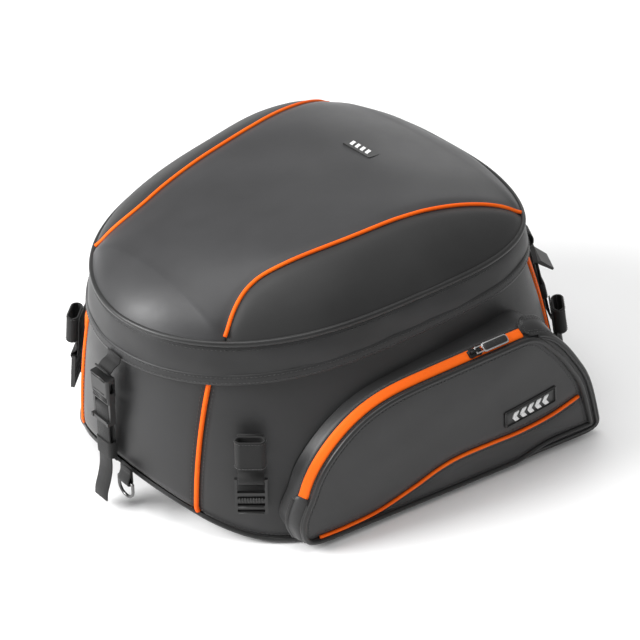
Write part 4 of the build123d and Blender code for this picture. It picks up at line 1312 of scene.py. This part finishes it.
def sleeve(name, wall, centre, size, span, thick=0.0013, ribs=0.0, rings=26, corner=0.45):
    """A flat tube of webbing or elastic round a strap: centre (u, w), size (u, w), span (v low, v high)."""
    (cu, cw), (su, sw), (low, high) = centre, size, span
    outline = rounded(su, sw, sw * corner, centre, steps=7)
    grid = []
    for i in range(rings):
        t = i / (rings - 1)
        v = low + (high - low) * t
        ends = math.exp(-t / 0.05) + math.exp((t - 1) / 0.05)
        puff = ribs * math.sin(v * 2 * math.pi / 0.0024) - 0.0003 * ends
        row = []
        for u, w in outline:
            scale_u = 1 + puff / su * 2
            row.append(wall.point(cu + (u - cu) * scale_u, v, cw + (w - cw) * (1 + puff / sw * 2)))
        grid.append(row)
    tube = grid_object(name, grid, closed=True)
    heart = wall.point(cu, (low + high) / 2, cw)
    face = tube.data.polygons[len(tube.data.polygons) // 2]
    if np.dot(np.array(face.normal), np.array(face.center) - heart) < 0:
        tube.data.flip_normals()
    return thicken(tube, thick)


REAR_WALL = Wall((-0.2401, 0, 0), 180, 0)      # faces the bike's rear: w is -X
BACK_LINE, FRONT_LINE, TURN_Z = -0.2376, -0.2426, 0.1207
HEM_REAR = hem_z(-0.223)


def build_rear_strap():
    y = np.array([0, 1.0, 0])
    tab = [(-0.2246, 0, HEM_REAR + 0.004), (-0.2262, 0, HEM_REAR - 0.003), (-0.2325, 0, 0.1655),
           (-0.2385, 0, 0.1606), (-0.2405, 0, 0.1648)]
    piece = ribbon("rear_lid_tab", tab, STRAP_W, y)
    dress(piece, "lid", WEBBING, ["rear_tab"])
    turn = [(BACK_LINE, 0, TURN_Z), (-0.2383, 0, TURN_Z + 0.0018), (-0.2401, 0, TURN_Z + 0.0025),
            (-0.2419, 0, TURN_Z + 0.0018), (FRONT_LINE, 0, TURN_Z)]
    path = [(BACK_LINE + 0.0015, 0, 0.056), (BACK_LINE, 0, 0.064), (BACK_LINE, 0, 0.085),
            (BACK_LINE, 0, 0.105)]
    path += turn
    path += [(FRONT_LINE, 0, 0.104), (FRONT_LINE - 0.0004, 0, 0.085), (FRONT_LINE, 0, 0.066),
             (FRONT_LINE - 0.0004, 0, 0.048), (FRONT_LINE - 0.0035, 0, 0.034),
             (FRONT_LINE - 0.0075, 0, 0.022),
             (FRONT_LINE - 0.0086, 0, 0.0125)]
    strap = ribbon("rear_strap_web", path, STRAP_W, y)
    dress(strap, None, WEBBING, ["rear_strap"])
    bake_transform(strap)
    tacks = bartack((BACK_LINE - 0.0008, 0, 0.060), y, (-1, 0, 0), 0.018)
    tacks += bartack((FRONT_LINE - 0.0084, 0, 0.0155), y, (-1, 0, -0.1), 0.018)
    dress(join("rear_strap_tacks", tacks), "bag", THREAD)
    keeper = sleeve("rear_keeper_loop", REAR_WALL, (0, 0), (0.0242, 0.0106), (0.0620, 0.0810), ribs=0.0002)
    dress(keeper, "rear_keeper", WEBBING, ["rear_keeper"])


def build_dring_tab():
    x0, z0, r = -0.239, 0.043, 0.0028
    y = -0.026
    path = [(x0 + r, y, z0 + 0.018), (x0 + r, y, z0 + 0.010), (x0 + r, y, z0 + 0.002)]
    for k in range(5):
        a = math.radians(-20 - 35 * k)
        path.append((x0 + r * math.cos(a), y, z0 + r * math.sin(a)))
    path += [(x0 - r + 0.0004, y, z0 + 0.003), (x0 + 0.0004, y, z0 + 0.010), (x0 + 0.0009, y, z0 + 0.0165)]
    tab = ribbon("dring_tab_web", path, 0.016, (0, 1, 0))
    dress(tab, "bag", WEBBING, ["dring_tab"])
    tacks = bartack((x0 + 0.0002, y, z0 + 0.0115), (0, 1, 0), (-1, 0, 0), 0.014)
    dress(join("dring_tacks", tacks), "bag", THREAD)


FRONT_WALL = Wall((0.2302, 0.1164, 0.100), 30, 15)


def build_front_straps():
    w = FRONT_WALL
    loop_top, inner, outer = 0.057, 0.0052, 0.0090
    path = [w.point(0, v, o) for v, o in (
        (-0.058, 0.0035), (-0.050, 0.0045), (-0.040, inner), (-0.015, inner), (0.015, inner), (0.040, inner),
        (loop_top - 0.0030, inner), (loop_top - 0.0008, inner + 0.0008), (loop_top, (inner + outer) / 2),
        (loop_top - 0.0008, outer - 0.0008), (loop_top - 0.0030, outer), (0.040, outer), (0.015, outer),
        (-0.010, outer), (-0.028, outer), (-0.034, outer + 0.0003))]
    lower = ribbon("lower", path, STRAP_W, w.u)
    top = [w.point(0, v, o) for v, o in ((0.086, -0.003), (0.084, 0.0035), (0.080, 0.0088), (0.0745, 0.0108),
                                         (0.069, 0.0100), (0.0655, 0.0071))]
    upper = ribbon("upper", top, STRAP_W, w.u)
    both("front_strap_web", join("front_straps", [lower, upper]), "bag", WEBBING,
         ["front_strap_{}"])
    keeper = sleeve("keeper", w, (0, (inner + outer) / 2), (0.0236, 0.0090), (-0.0045, 0.0145), ribs=0.0002)
    both("front_keeper_loop", keeper, "front_keeper_{}", WEBBING, ["front_keeper_{}"])
    tacks = bartack(w.point(0, -0.048, 0.0056), w.u, w.w, 0.018)
    tacks += bartack(w.point(0, -0.030, 0.0100), w.u, w.w, 0.018)
    both("front_strap_tacks", join("tacks", tacks), "bag", THREAD)


MOUNTS = {"rear": Wall((-0.170, 0.135, 0.084), 131, 5), "front": Wall((0.2295, 0.1465, 0.060), 41, 9)}
PIN_DOWN, PIN_OUT = -0.006, 0.0064


def build_mounts():
    webs, tacks, loops = [], [], []
    for wall in MOUNTS.values():
        path = [wall.point(0, v, o) for v, o in (
            (0.043, 0.0016), (0.036, 0.0023), (0.020, 0.0023), (0.004, 0.0023), (-0.004, 0.0028),
            (-0.0082, 0.0038), (-0.0094, 0.0064), (-0.0082, 0.0090), (-0.0052, 0.0096), (-0.0022, 0.0086),
            (0.0010, 0.0050), (0.0040, 0.0041), (0.010, 0.0040))]
        webs.append(ribbon("web", path, WEB_W, wall.u))
        loops.append(sleeve("stow", wall, (0, 0.0031 + 0.0065), (0.030, 0.013), (0.012, 0.042), thick=0.0018,
                            corner=0.5))
        for v in (0.0135, 0.0405):
            ring = []
            for k in range(60):
                a = 2 * math.pi * k / 60
                cu, cw = 0.0085 * (1 if math.cos(a) > 0 else -1), 0.0096
                ring.append(wall.point(cu + 0.0065 * math.cos(a), v, cw + 0.0066 * math.sin(a)))
            normal = [wall.u * math.cos(2 * math.pi * k / 60) + wall.w * math.sin(2 * math.pi * k / 60)
                      for k in range(60)]
            tacks.append(stitches("row", ring, normal, pitch=0.0030, length=0.0022, closed=True))
        tacks += bartack(wall.point(0, 0.0065, 0.0051), wall.u, wall.w, 0.022)
    left_webs, left_loops, left_tacks = join("webs", webs), join("loops", loops), join("tacks", tacks)
    for name, left, material, replaces in (("mount_web_bands", left_webs, WEBBING, ["mount_webs"]),
                                           ("mount_stow_loops", left_loops, WEBBING, ["mount_webs"]),
                                           ("mount_tacks", left_tacks, THREAD, [])):
        whole = join(name, [left, flipped(left, "twin")])
        dress(whole, "bag", material, replaces)


def carry(material, *names, bevel=0.0006, segments=2):
    """Shows CAD pieces as they are, with softened edges."""
    for name in names:
        for full in ([name.format(s) for s in SIDES] if "{}" in name else [name]):
            node = NODES[full]
            node.data.materials.clear()
            node.data.materials.append(material)
            if bevel:
                m = node.modifiers.new("edges", "BEVEL")
                m.width = bevel
                m.segments = segments
                m.limit_method = "ANGLE"
                m.angle_limit = math.radians(35)
                m.harden_normals = False


def build_badge():
    """Generic raised mark on the lid's badge."""
    low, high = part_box("lid_badge_emblem")
    pitch = -0.12
    x0, z0 = (low[0] + high[0]) / 2, (low[2] + high[2]) / 2 - 0.0004
    along, across = unit((1, 0, pitch)), np.array([0, 1.0, 0])
    out = unit((-pitch, 0, 1))
    bars = []
    for k in range(4):
        centre = np.array([x0, -0.0112 + 0.0075 * k, z0])
        corners = [(-0.0036, -0.0023), (0.0036, 0.0002), (0.0036, 0.0043), (-0.0036, 0.0018)]
        verts = [centre + along * a + across * b + out * h for h in (-0.0003, 0.0007) for a, b in corners]
        faces = [(3, 2, 1, 0), (4, 5, 6, 7)] + [(i, (i + 1) % 4, 4 + (i + 1) % 4, 4 + i) for i in range(4)]
        bars.append(new_object("bar", verts, faces, smooth=False))
    mark = join("lid_badge_bars", bars)
    mark.data.polygons.foreach_set("use_smooth", [False] * len(mark.data.polygons))
    dress(mark, "lid", BADGE_LIGHT, ["lid_badge_emblem"])


def build_main_zip():
    """The two rows of coil that meet under the flap, one on the body's tape and one on the lid's."""
    for body, node, rise in (("bag", "body_zip_tape", 0.0074), ("lid", "lid_zip_tape", 0.0090)):
        tree = surface(node)
        loop = [polar(tree, 2 * math.pi * k / 300, lambda x: hem_z(x) + rise) for k in range(300)]
        loop = smooth_loop([p for p in loop if p is not None], 3)
        even = resample(loop, 1100, True)
        out = outward(even)
        row = stitches("coil", even + out * 0.0003, out, pitch=0.0016, length=0.0013, radius=0.0009,
                       closed=True, sink=0.2)
        dress(row, body, TAPE_BLACK)


def build_buckle_details():
    """Teeth on each mounting buckle's locking bar, and grips on the rear buckle."""
    for where, wall in MOUNTS.items():
        teeth = []
        bottom = PIN_DOWN - 0.038
        for k in range(9):
            u = -0.0108 + 0.0027 * k
            teeth.append(block_mesh(wall, (u - 0.0008, u + 0.0008), (bottom + 0.0137, bottom + 0.0190),
                                    (PIN_OUT + 0.0018, PIN_OUT + 0.0030)))
        for v in (0.0015, 0.0085):
            teeth.append(block_mesh(wall, (-0.0125, 0.0125), (bottom + v - 0.0006, bottom + v + 0.0006),
                                    (PIN_OUT + 0.0018, PIN_OUT + 0.0026)))
        both(f"mount_teeth_{where}", join("teeth", teeth), "mount_buckle_" + where + "_{}", BUCKLE)
    grips = []
    for z in (0.1555, 0.1580):
        grips.append(block_mesh(REAR_WALL, (-0.0105, 0.0105), (z - 0.0005, z + 0.0005), (0.0050, 0.0060)))
    grips.append(block_mesh(REAR_WALL, (-0.0085, 0.0085), (0.1395, 0.1402), (0.0050, 0.0058)))
    dress(join("rear_buckle_grips", grips), "lid", BUCKLE)
    ribs = [block_mesh(REAR_WALL, (-0.011, 0.011), (z - 0.0005, z + 0.0005), (0.0040, 0.0050))
            for z in (0.1310, 0.1330, 0.1350)]
    dress(join("rear_plug_ribs", ribs), "rear_plug", BUCKLE)


def block_mesh(wall, us, vs, ws):
    verts = [wall.point(u, v, w) for w in ws for v in vs for u in us]
    faces = [(0, 2, 3, 1), (4, 5, 7, 6), (0, 1, 5, 4), (2, 6, 7, 3), (0, 4, 6, 2), (1, 3, 7, 5)]
    return new_object("block", verts, faces, smooth=False)


build_rear_strap()
build_dring_tab()
build_front_straps()
build_mounts()
build_badge()
build_main_zip()
build_buckle_details()
carry(BUCKLE, "rear_buckle_housing", "rear_buckle_plug", "front_ladder_{}", "mount_buckle_rear_{}",
      "mount_buckle_front_{}")
carry(SLIDER_METAL, "main_zip_sliders", bevel=0.0005)
carry(RING_METAL, "dring", bevel=0)
carry(BADGE_RUBBER, "lid_badge", bevel=0.0005)
carry(RUBBER_BASE, "base_tray", bevel=0.0008)
carry(BOARD, "base_board", bevel=0)
carry(LINING, "lid_foam", bevel=0)
carry(BOARD, "body_zip_tape", "lid_zip_tape", bevel=0)

# ---------------------------------------------------------------- floor, light and camera
def area_light(name, at, aim, size, power, colour=(1, 1, 1), size_y=None):
    light = bpy.data.lights.new(name, "AREA")
    light.energy = power
    light.color = colour
    light.size = size
    if size_y:
        light.shape = "RECTANGLE"
        light.size_y = size_y
    obj = bpy.data.objects.new(name, light)
    obj.location = at
    obj.rotation_euler = (Vector(aim) - Vector(at)).to_track_quat("-Z", "Y").to_euler()
    bpy.context.scene.collection.objects.link(obj)
    return obj


def stage_floor():
    s = Shader("floor_white")
    at = s.coords()
    s.colour(s.ramp(s.noise(at, 3.0), [(0.3, (0.94, 0.94, 0.94)), (0.7, (0.955, 0.955, 0.955))]))
    s.set(Roughness=0.75)
    verts = [(-6, -6, 0), (6, -6, 0), (6, 6, 0), (-6, 6, 0)]
    floor = new_object("floor", [(x, y, -0.0006) for x, y, _ in verts], [(0, 1, 2, 3)], smooth=False)
    floor.data.materials.append(s.material)


AZIMUTH, ELEVATION, DISTANCE = -41.0, 32.5, 2.2
TARGET = Vector((0.034, 0.0, 0.225))


def direction(azimuth, elevation):
    a, e = math.radians(azimuth), math.radians(elevation)
    return Vector((math.sin(a) * math.cos(e), -math.cos(a) * math.cos(e), math.sin(e)))


def make_camera():
    """The photograph's view; it looks a little below the target, which then stands above the centre."""
    camera = bpy.data.cameras.new("camera")
    camera.sensor_width = 36.0
    camera.lens = 123.75
    camera.clip_start, camera.clip_end = 0.05, 30
    obj = bpy.data.objects.new("camera", camera)
    obj.location = TARGET + DISTANCE * direction(AZIMUTH, ELEVATION)
    forward = (TARGET - obj.location).normalized()
    right = forward.cross(Vector((0, 0, 1))).normalized()
    up = right.cross(forward)
    drop = math.atan((320 - 212.1) / 640 * 36 / camera.lens)
    aim = forward * math.cos(drop) - up * math.sin(drop)
    obj.rotation_euler = aim.to_track_quat("-Z", "Y").to_euler()
    bpy.context.scene.collection.objects.link(obj)
    bpy.context.scene.camera = obj


def make_world():
    world = bpy.data.worlds.new("world")
    bpy.context.scene.world = world
    world.use_nodes = True
    world.node_tree.nodes["Background"].inputs["Color"].default_value = (1, 1, 1, 1)
    world.node_tree.nodes["Background"].inputs["Strength"].default_value = 0.42


bpy.context.scene.view_settings.view_transform = "Standard"
stage_floor()
make_world()
make_camera()
area_light("key", (-2.0, 1.0, 1.5), (0, 0, 0.15), 1.1, 92, size_y=1.3)
area_light("fill", (-1.1, -1.8, 1.2), (0, 0, 0.1), 1.2, 2.5)
area_light("rim", (1.6, 0.9, 1.0), (0, 0, 0.2), 1.0, 4)
area_light("top", (-0.2, 0.2, 2.3), (0, 0, 0.2), 1.5, 30)
